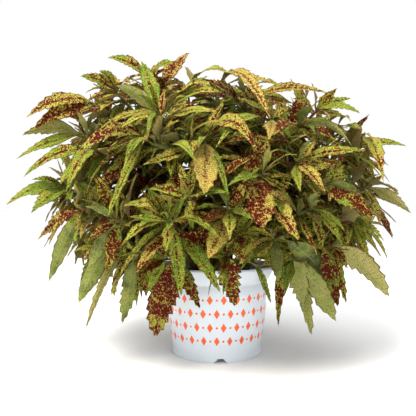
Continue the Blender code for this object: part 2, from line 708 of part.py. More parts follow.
def seen_leaf(seen, shoots, draw):
    """A leaf from its measured base and tip, springing from the nearest stem."""
    base = seen_point(*seen.base, 1.0)
    tip = seen_point(*seen.tip, SEEN_LEAF_REACH)
    shoot, start = nearest_on_shoots(shoots, base + (base - EYE).normalized() * AXIL_DEPTH)
    line = tip - start
    bend = start + line * 0.5 + UP * (2.0 * seen.arch * line.length)
    turn = math.radians(draw.uniform(-SEEN_FACE_TURN, SEEN_FACE_TURN))
    face = Quaternion(line.normalized(), turn) @ FACES[seen.face]
    rooted = start - (bend - start).normalized() * ROOT_DEPTH
    nearness = (bend.y - EYE.y) / -EYE.y
    size = "large" if seen.width >= LARGE_FROM else "small"
    return Leaf(rooted, bend, tip, face, seen.width * nearness * MM / 2, draw.uniform(*SEEN_FOLDS),
                outline_of(size, start, tip), shoot.number)


def moved(leaf, push):
    """The same leaf with its tip moved a little along the line of sight and its bend with it."""
    sight = (leaf.end - EYE).normalized()
    return leaf._replace(end=leaf.end + sight * push,
                         bend=leaf.bend + sight * push * BEND_SHIFT_SHARE)


def along_shoot(shoot, back):
    """The point on a shoot that far back from its tip, and the way it grows there."""
    for i in range(len(shoot.points) - 1, 0, -1):
        way = shoot.points[i] - shoot.points[i - 1]
        if back <= way.length:
            return shoot.points[i] - way.normalized() * back, way.normalized()
        back -= way.length
    return None, None


def radial_way(shoot, way, pair, side, looseness):
    """The way that a leaf leaves its stem: each pair stands a quarter turn from the last."""
    spare = way.cross(UP if abs(way.z) < STEEP else Vector((1.0, 0.0, 0.0))).normalized()
    turn = shoot.number * SHOOT_TURN + pair * 90.0 + side * 180.0 + looseness
    return Quaternion(way, math.radians(turn)) @ spare


def upper_side(way, chord):
    """The way a paired leaf's upper side faces: along its stem and up."""
    face = (way + UP * FACE_LIFT).normalized()
    if abs(face.dot(chord)) > ALONG_LEAF:
        face = (way - UP * face.dot(chord) * ALONG_LEAF_TURN).normalized()
    return face


def paired_leaf(shoot, pair, side, attempt, draw):
    """One leaf of an opposite pair, shorter and more turned at each try."""
    point, way = along_shoot(shoot, FIRST_PAIR + pair * PAIR_SPACING)
    if point is None or point.z < SOIL_EDGE_HEIGHT + LOWEST_AXIL:
        return None
    looseness = draw.uniform(-TURN_RANGE, TURN_RANGE) * (1 + TURN_WIDENING * attempt)
    radial = radial_way(shoot, way, pair, side, looseness)
    spread = math.radians(PAIR_SPREADS[pair] + draw.uniform(-SPREAD_RANGE, SPREAD_RANGE))
    out_way = way * math.cos(spread) + radial * math.sin(spread)
    length = PAIR_LENGTHS[pair] * draw.uniform(*LENGTH_RANGE) * SHORTER_EACH_TRY ** attempt
    if -radial.dot(Vector((point.x, point.y, 0.0)).normalized()) > INWARD_SHARE:
        length *= INWARD_LENGTH
    droop = draw.uniform(*DROOP_RANGE) * (FIRST_DROOP + DROOP_PER_PAIR * pair)
    bend = point + out_way * length * 0.5
    end = bend + (out_way - UP * droop).normalized() * length * 0.5
    if crown_share(end) > LEAF_REACH:
        return None
    chord = (end - point).normalized()
    turn = math.radians(draw.uniform(-FACE_RANGE, FACE_RANGE))
    face = Quaternion(chord, turn) @ upper_side(way, chord)
    width = length * PAIR_WIDTH_SHARE * draw.uniform(*WIDTH_RANGE)
    return Leaf(point - out_way * ROOT_DEPTH, bend, end, face, width / 2,
                draw.uniform(*PAIR_FOLDS), outline_of("small", point, end), shoot.number)


def sight_tree(leaves, pot):
    """The seen leaves and the pot, to be found by lines of sight."""
    points = [vertex.co.copy() for vertex in pot.data.vertices]
    faces = [tuple(polygon.vertices) for polygon in pot.data.polygons]
    for leaf in leaves:
        more, shapes = leaf_mesh(leaf)
        faces += [tuple(i + len(points) for i in shape) for shape in shapes]
        points += more
    return tree_of(points, faces)


def hides(leaf, sight):
    """Whether a leaf would stand before what the photograph shows."""
    hiding = 0
    for along, sideways in SIGHT_CHECKS:
        there, _, across, _ = leaf_place(leaf, along)
        point = there + across * (sideways * leaf.half_width)
        if sight.ray_cast(point, (point - EYE).normalized())[0]:
            hiding += 1
    return hiding > MOST_HIDING


def crown_tips():
    """The shoots' tips, and whether a stem leads to each: those seen, then the hidden ones."""
    tips = [(seen_point(s.right, s.down, 1.0), s.leads, True) for s in SEEN_SHOOTS]
    count = spot = 0
    while count < HIDDEN_SHOOTS:
        spot += 1
        bearing = (spot * GOLDEN_ANGLE) % 360.0
        if min(bearing, 360.0 - bearing) > FRONT_SECTOR:
            height = HIGHEST_HIDDEN - HIDDEN_SPAN * (count + 0.5) / HIDDEN_SHOOTS
            tips.append((crown_point(bearing, height), count % HIDDEN_LEADERS_EVERY == 0, False))
            count += 1
    return tips


def clear_way(ways, radius, stem, placed, pieces):
    """The first of several ways for a stem that keeps clear of the other stems, or None."""
    others = [p for p in placed if p.stem != stem]
    for points in ways:
        grown = tube(points, radius + CLEARANCE, "grown_shoot", pieces)
        vertices = [vertex.co.copy() for vertex in grown.data.vertices]
        crossed = meets(vertices, [tuple(p.vertices) for p in grown.data.polygons], others)
        bpy.data.objects.remove(grown, do_unlink=True)
        if not crossed:
            return points
    return None


def grow_stems(pieces, placed):
    """All shoots: a leader from the soil to each leading head, then the side shoots."""
    tips = crown_tips()
    leaders = [(tip, seen) for tip, leads, seen in tips if leads]
    bases = spaced_bases([tip for tip, _ in leaders])
    shoots = []
    for stem, (base, (tip, seen)) in enumerate(zip(bases, leaders)):
        ways = [leader_points(base, tip, math.radians(swing)) for swing in SWINGS]
        add_shoot(shoots, ways, STEM_RADIUS, stem, seen, placed, pieces)
    for tip, leads, seen in tips:
        if not leads:
            inner = tip.lerp(UP * SOIL_EDGE_HEIGHT, STEM_SEARCH_SHARE)
            order = sorted(range(len(leaders)),
                           key=lambda i: min((inner - p).length for p in shoots[i].points[2:-1]))
            for stem in order[:NEAREST_STEMS]:
                ways = [shoot_points(shoots[stem].points, tip, skip) for skip in range(SHOOT_STARTS)]
                if add_shoot(shoots, ways, SHOOT_RADIUS, stem, seen, placed, pieces):
                    break
    return shoots, bases


def add_shoot(shoots, ways, radius, stem, seen, placed, pieces):
    points = clear_way(ways, radius, stem, placed, pieces)
    if not points:
        return False
    made = tube(points, radius, "shoot", pieces)
    shoots.append(Shoot(points, stem, made, len(shoots), seen))
    place_mesh(made.data, stem, len(shoots) - 1, placed)
    return True


def grow_leaves(shoots, placed, pot):
    """The seen leaves, then pairs of leaves where they hide nothing that is seen."""
    leaves = []
    for i, seen in enumerate(SEEN_LEAVES):
        first = seen_leaf(seen, shoots, random.Random(SEEN_SEED + i))
        for push in SIGHT_SHIFTS:
            if add_leaf(leaves, moved(first, push * MM), shoots, placed):
                break
    sight = sight_tree(leaves, pot)
    for pair in HIDDEN_SHOOT_PAIRS:
        for shoot in shoots:
            if shoot.seen and pair not in SEEN_SHOOT_PAIRS:
                continue
            for side in PAIR_SIDES[pair]:
                add_pair_leaf(leaves, shoot, pair, side, sight, shoots, placed)
    return leaves


def add_pair_leaf(leaves, shoot, pair, side, sight, shoots, placed):
    draw = random.Random(shoot.number * PAIR_SEED + pair * 10 + side)
    for attempt in range(TRIES):
        leaf = paired_leaf(shoot, pair, side, attempt, draw)
        if leaf and not hides(leaf, sight) and add_leaf(leaves, leaf, shoots, placed):
            break


def add_leaf(leaves, leaf, shoots, placed):
    stem = shoots[leaf.shoot].stem
    if not is_clear(leaf, stem, placed):
        return False
    leaves.append(leaf)
    place(*leaf_mesh(leaf), stem, None, placed)
    return True


def fuse(name, trunk, others, look, parts, pieces):
    """One body from a stem and all that grows on it."""
    group = collection_named(name + "_pieces")
    for other in others:
        pieces.objects.unlink(other)
        group.objects.link(other)
    pieces.objects.unlink(trunk)
    parts.objects.link(trunk)
    trunk.name = name
    union = trunk.modifiers.new("fuse", "BOOLEAN")
    union.operation = "UNION"
    union.operand_type = "COLLECTION"
    union.collection = group
    apply_modifiers(trunk)
    for other in others:
        bpy.data.objects.remove(other, do_unlink=True)
    bpy.data.collections.remove(group)
    trunk.data.name = name
    trunk.data.materials.clear()
    trunk.data.materials.append(look)


def main():
    clear_scene()
    parts = collection_named(OBJECT_NAME)
    cutters = collection_named("cutters")
    pieces = collection_named("pieces")
    placed = []
    shoots, bases = grow_stems(pieces, placed)
    pot = make_pot(parts, cutters)
    soil = make_soil(parts, cutters, bases)
    for holder in (pot, soil):
        place_mesh(holder.data, None, None, placed)
    leaves = grow_leaves(shoots, placed, pot)
    look = material("coleus_leaf", (0.36, 0.38, 0.07), 0.55)
    for i, leader in enumerate(shoots[:len(bases)]):
        others = [s.tube for s in shoots[len(bases):] if s.stem == i]
        mine = [leaf for leaf in leaves if shoots[leaf.shoot].stem == i]
        for leaf in mine:
            points, faces = leaf_mesh(leaf)
            others.append(object_from("leaf", points, faces, pieces))
        fuse(f"leafy_stem_{i + 1:02d}", leader.tube, others, look, parts, pieces)
    print(len(bases), "stems,", len(shoots), "shoots,", len(leaves), "leaves")


main()
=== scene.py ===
# %% [markdown]
# # A potted coleus, leaf by leaf
# The plant is a round bush of square green stems with long, toothed, lime leaves that are
# splashed with burgundy. It stands in a white nursery pot. The frame from the CAD model says
# where the pot, the soil and each leafy stem are. This script gives each of them a finer shape
# and a finish, in the same place.

# %% Load the frame
import math
import random
from collections import namedtuple
from functools import partial

import bmesh
import bpy
import numpy as np
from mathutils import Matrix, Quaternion, Vector
from mathutils.bvhtree import BVHTree


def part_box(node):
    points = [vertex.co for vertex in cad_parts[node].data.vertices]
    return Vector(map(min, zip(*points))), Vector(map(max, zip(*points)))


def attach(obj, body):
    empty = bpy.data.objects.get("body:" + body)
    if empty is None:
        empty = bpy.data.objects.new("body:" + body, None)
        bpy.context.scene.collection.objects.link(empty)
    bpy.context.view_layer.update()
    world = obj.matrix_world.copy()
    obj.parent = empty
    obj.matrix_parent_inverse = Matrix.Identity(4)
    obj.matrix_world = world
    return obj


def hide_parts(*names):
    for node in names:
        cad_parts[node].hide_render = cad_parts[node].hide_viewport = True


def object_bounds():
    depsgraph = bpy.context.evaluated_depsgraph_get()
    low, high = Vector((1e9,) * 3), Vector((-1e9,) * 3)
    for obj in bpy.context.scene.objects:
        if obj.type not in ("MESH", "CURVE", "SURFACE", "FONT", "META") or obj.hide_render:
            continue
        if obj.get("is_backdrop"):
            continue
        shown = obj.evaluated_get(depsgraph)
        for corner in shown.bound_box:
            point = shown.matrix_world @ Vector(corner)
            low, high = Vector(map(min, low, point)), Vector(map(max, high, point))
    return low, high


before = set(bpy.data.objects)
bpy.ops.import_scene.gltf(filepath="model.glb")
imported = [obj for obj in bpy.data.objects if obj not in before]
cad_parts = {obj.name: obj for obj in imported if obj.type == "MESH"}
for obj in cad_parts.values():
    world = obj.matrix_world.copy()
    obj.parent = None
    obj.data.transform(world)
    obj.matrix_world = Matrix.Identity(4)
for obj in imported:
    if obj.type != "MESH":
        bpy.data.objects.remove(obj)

MM = 0.001
UP = Vector((0.0, 0.0, 1.0))
cad_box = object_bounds()
print("CAD box", [[round(x, 4) for x in corner] for corner in cad_box])

# %% [markdown]
# ## The camera
# The photograph was taken from straight in front, level with the middle of the bush. The pot's
# rim and foot give the distance: a 165 mm rim that is 116 pixels wide stands 0.72 m away from a
# lens that spans 44 degrees. The camera is turned a little, not shifted, because other views
# move it later.

# %% Place the camera
EYE = Vector((0.0, -724.0 * MM, 203.6 * MM))
IMAGE_SIZE = 416
FOCAL_PIXELS = 509.0
AXIS_PIXEL = 216.8
EYE_LEVEL_PIXEL = 209.1
SENSOR = 36.0

tilt = math.atan((EYE_LEVEL_PIXEL - IMAGE_SIZE / 2) / FOCAL_PIXELS)
turn = math.atan((AXIS_PIXEL - IMAGE_SIZE / 2) / FOCAL_PIXELS)
bpy.ops.object.camera_add(location=EYE, rotation=(math.radians(90.0) - tilt, 0.0, turn))
camera = bpy.context.object
camera.data.sensor_width = SENSOR
camera.data.lens = FOCAL_PIXELS * SENSOR / IMAGE_SIZE
camera.data.clip_start = 0.02
bpy.context.scene.camera = camera
print("lens", round(camera.data.lens, 1), "mm")


# %% [markdown]
# ## Helpers for materials
# Colours are given as they show on a screen, so one function turns them into the
# linear numbers that the shader wants. Another adds a node with its settings and its links in
# one line, which keeps each material short enough to read, and a third starts a material.

# %% Colour and node helpers
def linear(code):
    """A screen colour such as #A9B84A as the shader's linear numbers."""
    shares = [int(code[i:i + 2], 16) / 255.0 for i in (1, 3, 5)]
    turned = [s / 12.92 if s <= 0.04045 else ((s + 0.055) / 1.055) ** 2.4 for s in shares]
    return (*turned, 1.0)


def set_input(node, place, value):
    """Gives an input a value, or a link from another node's output."""
    if isinstance(value, bpy.types.NodeSocket):
        node.id_data.links.new(value, node.inputs[place])
    else:
        node.inputs[place].default_value = value


def add_node(tree, kind, inputs=(), output=0, stops=(), **settings):
    """Adds a node with its settings and inputs, and returns one of its outputs.

    The inputs come in the node's own order, or in a dictionary under their names or numbers.
    The stops are the places and colours of a colour ramp."""
    node = tree.nodes.new("ShaderNode" + kind)
    for name, value in settings.items():
        setattr(node, name, value)
    for place, value in (inputs if isinstance(inputs, dict) else dict(enumerate(inputs))).items():
        set_input(node, place, value)
    marks = node.color_ramp.elements if stops else ()
    while len(marks) < len(stops):
        marks.new(0.5)
    for mark, (place, code) in zip(marks, stops):
        mark.position = place
        mark.color = linear(code)
    return node.outputs[output]


def new_material(name, **sockets):
    """A material with one Principled shader, and what adds a node to it."""
    made = bpy.data.materials.new(name)
    made.use_nodes = True
    shader = made.node_tree.nodes["Principled BSDF"]
    for socket, value in sockets.items():
        shader.inputs[socket.replace("_", " ")].default_value = value
    return made, partial(add_node, made.node_tree), shader


SMOOTH = {"interpolation_type": "SMOOTHSTEP"}
COLOURS = {"data_type": "RGBA"}
PLUS, MINUS = {"operation": "ADD"}, {"operation": "SUBTRACT"}
TIMES, TIMES_PLUS = {"operation": "MULTIPLY"}, {"operation": "MULTIPLY_ADD"}
FIRST, SECOND, MIXED = 6, 7, 2


# %% [markdown]
# ## Light and floor
# The real one stood on white. The world is a white studio: white walls round the horizon, a
# darker band above them and a bright ceiling panel. Together they light the floor as brightly as
# the walls, so the floor meets them without a line. A large softbox high in front gives the
# leaves their lit and shaded sides, and a smaller one low in front opens the undersides.

# %% World, lights and floor
world = bpy.data.worlds.new("white_studio")
bpy.context.scene.world = world
world.use_nodes = True
add = partial(add_node, world.node_tree)
height = add("SeparateXYZ", (add("TexCoord", output="Generated"),), "Z")
walls = add("MapRange", (height, 0.42, 0.50, 1.0, 0.25), **SMOOTH)
ceiling = add("MapRange", (height, 0.74, 0.82, 0.0, 1.55), **SMOOTH)
backdrop = world.node_tree.nodes["Background"]
set_input(backdrop, "Color", linear("#FFFFFF"))
set_input(backdrop, "Strength", add("Math", (walls, ceiling), **PLUS))
bpy.context.scene.view_settings.view_transform = "Standard"


def add_area_light(name, place, aim, size, power, colour="#FFFFFF"):
    """A square softbox at a place, turned to its aim."""
    turned = (aim - place).to_track_quat("-Z", "Y").to_euler()
    bpy.ops.object.light_add(type="AREA", location=place, rotation=turned)
    light = bpy.context.object
    light.name = name
    light.data.size = size
    light.data.energy = power
    light.data.color = linear(colour)[:3]


CROWN_AIM = Vector((0.0, 0.0, 190.0 * MM))
add_area_light("high_softbox", Vector((-0.45, -0.95, 1.35)), CROWN_AIM, 0.7, 41.0, "#FFFAF2")
add_area_light("low_softbox", Vector((0.60, -1.65, 0.40)), CROWN_AIM, 0.6, 6.0)

bpy.ops.object.select_all(action="DESELECT")
bpy.ops.mesh.primitive_plane_add(size=60.0, location=(0.0, 0.0, -0.2 * MM))
floor = bpy.context.object
floor.name = "studio_floor"
floor_look, _, _ = new_material("white_paper", Base_Color=linear("#FFFFFF"), Roughness=1.0,
                                Specular_IOR_Level=0.0)
floor.data.materials.append(floor_look)
floor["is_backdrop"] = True

# %% [markdown]
# ## The rule that the plant grows by
# The CAD model's leafy stems were grown by a rule: shoots and leaves that the photograph shows
# are put on the line of sight through their pixels, where it meets an egg-shaped crown, and the
# hidden ones follow the golden angle. The same rule and the same random draws are repeated
# here, so that each fine leaf lies where its plain one is.

# %% The crown and the stems in numbers
PIXEL = 1.422 * MM
SIGHT_START = 0.5
SIGHT_STEP = 0.0025
SIGHT_STEPS = 240
CROWN_SPREAD = 206.0 * MM
CROWN_DEPTH = 0.93
CROWN_MIDDLE = 207.0 * MM
CROWN_RISE = 158.0 * MM
CROWN_DROP = 118.0 * MM
LEAF_REACH = 1.36
SEEN_LEAF_REACH = 1.24
LOWEST_LEAF = 6.0 * MM
GROWTH_TILT = 0.55
GROWTH_LIFT = 60.0 * MM
SOIL_EDGE_HEIGHT = 108.5 * MM
STEM_HOLE_DEPTH = 22.0 * MM

STEM_RADIUS = 3.0 * MM
SHOOT_RADIUS = 2.1 * MM
TIP_SHARE = 0.62
STEM_BASE_SPREAD = 50.0 * MM
STEM_BASE_LIMIT = 58.0 * MM
STEM_BASE_SPACING = 11.5 * MM
SPACING_ROUNDS = 60
HIGH_STEM_REACH = 0.30
FAR_TIP_SHARE = 0.8
STEM_POINTS = 6
STEM_RISE_SHARE = 0.45
STEM_LAST_SHARE = 0.35
RIM_CLEARANCE = 46.0 * MM
SWINGS = (0, 6, -6, 12, -12, 20, -20)
SHOOT_POINTS = 4
SHOOT_LENGTH = 90.0 * MM
SHOOT_FIRST_SHARE = 0.35
SHOOT_FIRST_LIFT = 0.5
SHOOT_LAST_SHARE = 0.3
SHOOT_STARTS = 3
NEAREST_STEMS = 3
STEM_SEARCH_SHARE = 0.35

CLEARANCE = 1.1 * MM
ROOT_DEPTH = 0.4 * MM

# %% Shoots that the photograph shows
SeenShoot = namedtuple("SeenShoot", "right down leads")
SEEN_SHOOTS = [SeenShoot(*row) for row in (
    (150, 80, True), (158, 116, False), (114, 92, True), (97, 107, False), (82, 136, True),
    (92, 152, False), (144, 140, False), (66, 190, False), (82, 212, False), (114, 222, True),
    (102, 252, False), (126, 262, False), (168, 224, True), (166, 262, False), (187, 92, False),
    (218, 90, True), (204, 138, True), (190, 200, False), (229, 210, True), (240, 236, False),
    (262, 176, False), (228, 258, False), (248, 96, False), (272, 120, True), (300, 128, False),
    (298, 162, False), (324, 186, True), (313, 210, False), (286, 238, True), (334, 248, True),
    (306, 264, False), (318, 112, True), (336, 132, False), (358, 147, True), (366, 188, False),
    (356, 222, False), (262, 268, False),
)]

# %% Large leaves that the photograph shows
SeenLeaf = namedtuple("SeenLeaf", "base tip width arch face")
SEEN_LEAVES = [SeenLeaf(*row) for row in (
    ((141, 72), (108, 58), 22, 0.10, "up"), ((149, 77), (173, 66), 18, 0.16, "up"),
    ((157, 115), (141, 60), 25, 0.00, "front"), ((125, 88), (100, 72), 22, 0.12, "up"),
    ((112, 92), (80, 78), 24, 0.10, "up"), ((100, 100), (25, 119), 26, 0.16, "up"),
    ((96, 110), (30, 131), 30, 0.10, "front"), ((80, 136), (21, 137), 28, 0.10, "under"),
    ((66, 142), (14, 159), 17, 0.06, "up"), ((90, 150), (21, 178), 26, 0.14, "up"),
    ((72, 178), (4, 205), 24, 0.10, "up"), ((68, 192), (30, 216), 30, 0.08, "front"),
    ((78, 205), (37, 242), 22, 0.08, "front"), ((90, 152), (65, 194), 24, 0.16, "front"),
    ((74, 226), (48, 284), 24, 0.08, "under"), ((82, 240), (79, 294), 24, 0.00, "front"),
    ((112, 222), (88, 271), 27, 0.10, "under"), ((104, 258), (78, 306), 26, 0.08, "under"),
    ((118, 274), (84, 331), 14, 0.10, "under"), ((132, 268), (122, 325), 24, 0.06, "under"),
    ((164, 272), (152, 340), 44, 0.00, "front"), ((172, 288), (174, 332), 26, 0.00, "front"),
    ((172, 236), (181, 299), 22, 0.06, "front"), ((169, 240), (115, 281), 23, 0.12, "up"),
    ((122, 228), (106, 276), 22, 0.05, "front"), ((164, 223), (119, 250), 24, 0.16, "up"),
    ((144, 139), (75, 155), 28, 0.20, "front"), ((161, 120), (221, 94), 22, 0.12, "up"),
    ((171, 104), (210, 84), 22, 0.14, "up"), ((188, 92), (228, 74), 20, 0.12, "up"),
    ((212, 90), (271, 116), 28, 0.18, "front"), ((166, 123), (216, 112), 20, 0.06, "up"),
    ((159, 124), (121, 128), 17, 0.10, "up"), ((204, 138), (257, 153), 28, 0.28, "front"),
    ((170, 155), (195, 161), 18, 0.10, "up"), ((197, 158), (204, 195), 42, 0.00, "front"),
    ((261, 177), (262, 231), 44, 0.00, "front"), ((276, 124), (269, 138), 22, 0.00, "front"),
    ((302, 128), (275, 133), 24, 0.06, "front"), ((297, 163), (325, 195), 24, 0.06, "front"),
    ((298, 166), (300, 192), 17, 0.00, "front"), ((325, 187), (373, 220), 34, 0.06, "front"),
    ((356, 146), (384, 183), 27, 0.22, "front"), ((312, 157), (366, 154), 20, 0.08, "up"),
    ((371, 154), (405, 148), 14, 0.06, "up"), ((370, 166), (398, 197), 28, 0.08, "under"),
    ((366, 188), (411, 215), 18, 0.05, "under"), ((357, 221), (388, 260), 18, 0.05, "up"),
    ((333, 250), (389, 297), 38, 0.10, "under"), ((341, 254), (345, 305), 18, 0.00, "front"),
    ((320, 258), (338, 309), 24, 0.04, "front"), ((284, 247), (337, 291), 37, 0.08, "under"),
    ((304, 272), (336, 322), 34, 0.06, "under"), ((309, 282), (312, 337), 22, 0.04, "under"),
    ((296, 274), (303, 308), 28, 0.04, "under"), ((273, 283), (278, 328), 13, 0.06, "front"),
    ((265, 276), (271, 305), 11, 0.04, "up"), ((196, 276), (200, 311), 18, 0.00, "front"),
    ((232, 262), (235, 309), 31, 0.04, "front"), ((193, 248), (221, 294), 21, 0.06, "front"),
    ((204, 238), (208, 261), 31, 0.00, "front"), ((227, 212), (230, 241), 20, 0.04, "front"),
    ((184, 220), (220, 241), 16, 0.14, "up"), ((238, 235), (243, 262), 19, 0.04, "front"),
    ((230, 212), (211, 190), 18, 0.12, "up"), ((313, 209), (342, 246), 20, 0.08, "up"),
    ((290, 231), (337, 263), 20, 0.08, "up"), ((316, 112), (336, 91), 16, 0.00, "front"),
    ((330, 114), (350, 101), 15, 0.06, "up"), ((318, 115), (359, 114), 16, 0.10, "up"),
    ((250, 88), (280, 90), 14, 0.12, "up"), ((240, 92), (271, 81), 16, 0.06, "up"),
    ((228, 88), (238, 76), 14, 0.08, "up"), ((272, 106), (328, 96), 20, 0.10, "up"),
    ((301, 129), (354, 147), 20, 0.16, "under"), ((336, 131), (361, 133), 22, 0.05, "front"),
    ((127, 190), (94, 177), 22, 0.10, "front"), ((246, 128), (215, 148), 20, 0.14, "up"),
    ((134, 119), (116, 87), 24, 0.08, "under"), ((172, 96), (152, 75), 22, 0.04, "front"),
    ((98, 172), (67, 196), 20, 0.10, "under"), ((282, 258), (278, 284), 20, 0.04, "under"),
    ((293, 126), (311, 108), 18, 0.08, "under"), ((305, 216), (321, 230), 18, 0.06, "front"),
    ((332, 178), (365, 200), 16, 0.10, "under"), ((67, 164), (31, 181), 14, 0.08, "front"),
    ((171, 214), (147, 189), 14, 0.04, "front"), ((164, 252), (146, 296), 14, 0.05, "front"),
    ((145, 254), (143, 276), 14, 0.04, "front"), ((350, 214), (383, 243), 12, 0.08, "up"),
    ((351, 222), (368, 258), 12, 0.04, "front"), ((164, 117), (185, 97), 12, 0.08, "up"),
    ((84, 146), (76, 112), 11, 0.04, "front"), ((80, 142), (32, 147), 11, 0.08, "under"),
    ((127, 129), (98, 131), 10, 0.10, "up"), ((181, 134), (225, 123), 10, 0.10, "up"),
    ((345, 221), (347, 249), 10, 0.04, "front"), ((306, 286), (302, 314), 10, 0.04, "front"),
    ((132, 271), (141, 300), 10, 0.04, "front"), ((264, 106), (238, 76), 8, 0.04, "front"),
)]

# %% Hidden shoots in numbers, and what is kept of each thing
HIDDEN_SHOOTS = 25
HIDDEN_LEADERS_EVERY = 3
HIGHEST_HIDDEN = 1.0
HIDDEN_SPAN = 1.5
GOLDEN_ANGLE = 137.508
FRONT_SECTOR = 64.0

Shoot = namedtuple("Shoot", "points way radius stem number seen")
Placed = namedtuple("Placed", "tree stem shoot")
Leaf = namedtuple("Leaf", "start bend end face half_width fold outline shoot")
Way = namedtuple("Way", "foot controls count")


# %% [markdown]
# ### Places on the crown
# A pixel gives only a line of sight. The crown is taken as an egg, and a thing that is seen lies
# where that line first enters it, or passes nearest to it at the outline.

# %% Lines of sight and the egg
def crown_share(point):
    """How far out of the crown's middle a point lies: 1 on the egg of the shoot tips."""
    height = point.z - CROWN_MIDDLE
    tall = CROWN_RISE if height > 0 else CROWN_DROP
    return math.sqrt((point.x / CROWN_SPREAD) ** 2
                     + (point.y / (CROWN_SPREAD * CROWN_DEPTH)) ** 2 + (height / tall) ** 2)


def seen_point(right, down, share):
    """Where the line of sight through a pixel first meets the crown, or passes nearest to it."""
    on_plane = Vector(((right - AXIS_PIXEL) * PIXEL, 0.0,
                       EYE.z - (down - EYE_LEVEL_PIXEL) * PIXEL))
    best, best_share = None, 1e9
    for step in range(SIGHT_STEPS):
        point = EYE.lerp(on_plane, SIGHT_START + step * SIGHT_STEP)
        reached = crown_share(point)
        if reached < best_share:
            best, best_share = point, reached
        if reached <= share:
            break
    return best


def crown_point(bearing, height):
    """The point of the crown at a bearing from the front and a height share from -1 to 1."""
    tall = CROWN_RISE if height > 0 else CROWN_DROP
    across = math.sqrt(max(0.0, 1.0 - height * height))
    angle = math.radians(bearing)
    return Vector((math.sin(angle) * across * CROWN_SPREAD,
                   -math.cos(angle) * across * CROWN_SPREAD * CROWN_DEPTH,
                   CROWN_MIDDLE + height * tall))


def outward(point):
    """The way a shoot grows at a place on the crown: out from the middle, and up."""
    away = Vector((point.x, point.y, GROWTH_TILT * (point.z - CROWN_MIDDLE) + GROWTH_LIFT))
    return away.normalized()


def crown_tips():
    """The shoots' tips, and whether a stem leads to each: those seen, then the hidden ones."""
    tips = [(seen_point(s.right, s.down, 1.0), s.leads, True) for s in SEEN_SHOOTS]
    count = spot = 0
    while count < HIDDEN_SHOOTS:
        spot += 1
        bearing = (spot * GOLDEN_ANGLE) % 360.0
        if min(bearing, 360.0 - bearing) > FRONT_SECTOR:
            height = HIGHEST_HIDDEN - HIDDEN_SPAN * (count + 0.5) / HIDDEN_SHOOTS
            tips.append((crown_point(bearing, height), count % HIDDEN_LEADERS_EVERY == 0, False))
            count += 1
    return tips


# %% [markdown]
# ### What has been placed
# The plain shapes of leaves and stems keep clear of each other, but for stalks on one stem. Each
# shape that is placed is kept as a search tree of its faces, with its box in one array, so that
# a new shape is only compared with the few whose boxes it meets.

# %% Keep clear of what is placed
placed = []
placed_low = np.zeros((8000, 3))
placed_high = np.zeros((8000, 3))


def shape_of(mesh):
    """A mesh's points and faces."""
    return [v.co.copy() for v in mesh.vertices], [tuple(f.vertices) for f in mesh.polygons]


def place(points, faces, stem, shoot, number=None):
    """Keeps a new shape, or the new shape of what has that number."""
    if number is None:
        number = len(placed)
        placed.append(None)
    placed_low[number] = np.min(points, axis=0)
    placed_high[number] = np.max(points, axis=0)
    placed[number] = Placed(BVHTree.FromPolygons(points, faces), stem, shoot)


def meets(points, faces, counts):
    """Whether a shape crosses any placed one that counts."""
    total = len(placed)
    low = np.min(points, axis=0)
    high = np.max(points, axis=0)
    near = np.all((placed_low[:total] <= high) & (placed_high[:total] >= low), axis=1)
    tree = None
    for number in np.nonzero(near)[0]:
        other = placed[number]
        if counts(other):
            tree = tree or BVHTree.FromPolygons(points, faces)
            if tree.overlap(other.tree):
                return True
    return False


# %% [markdown]
# ### Stems
# A coleus stem is square. Leaders rise from the soil in an S and lean out over the rim. Side
# shoots leave them on the way.

# %% Where the stems leave the soil
def curve_points(start, first, second, end, count):
    made = []
    for i in range(count):
        t = i / (count - 1)
        made.append(start * (1 - t) ** 3 + first * (3 * t * (1 - t) ** 2)
                    + second * (3 * t * t * (1 - t)) + end * t ** 3)
    return made


def way_points(way, finer=1):
    """The points of a way, with that many steps for each of the CAD model's."""
    count = (way.count - 1) * finer + 1
    return ([way.foot] if way.foot else []) + curve_points(*way.controls, count)


def stem_base(tip):
    """Where a stem leaves the soil: low outer heads from the edge, high ones from the middle."""
    flat = Vector((tip.x, tip.y, 0.0))
    lowness = 1.0 - max(0.0, tip.z - CROWN_MIDDLE) / CROWN_RISE
    farness = min(1.0, flat.length / (FAR_TIP_SHARE * CROWN_SPREAD))
    reach = STEM_BASE_SPREAD * (HIGH_STEM_REACH + (1.0 - HIGH_STEM_REACH) * lowness) * farness
    return flat.normalized() * reach + UP * SOIL_EDGE_HEIGHT


def spaced_bases(tips):
    """The stems' places in the soil, pushed apart until no two are close."""
    bases = [stem_base(tip) for tip in tips]
    for _ in range(SPACING_ROUNDS):
        for i, base in enumerate(bases):
            for other in bases[i + 1:]:
                apart = other - base
                short = STEM_BASE_SPACING - apart.length
                if short > 0:
                    push = apart.normalized() * (short / 2)
                    other += push
                    base -= push
        for base in bases:
            flat = Vector((base.x, base.y, 0.0))
            if flat.length > STEM_BASE_LIMIT:
                flat = flat.normalized() * STEM_BASE_LIMIT
            base.x, base.y = flat.x, flat.y
    return bases


# %% Ways of the stems and side shoots
def leader_way(base, tip, swing):
    """A stem's way from its foot in the soil to its tip, swung sideways."""
    length = (tip - base).length
    rise_height = max(STEM_RISE_SHARE * (tip.z - base.z), RIM_CLEARANCE)
    late = tip - outward(tip) * STEM_LAST_SHARE * length
    late.rotate(Quaternion(UP, swing))
    controls = (base, base + UP * rise_height, late, tip)
    return Way(base - UP * STEM_HOLE_DEPTH, controls, STEM_POINTS)


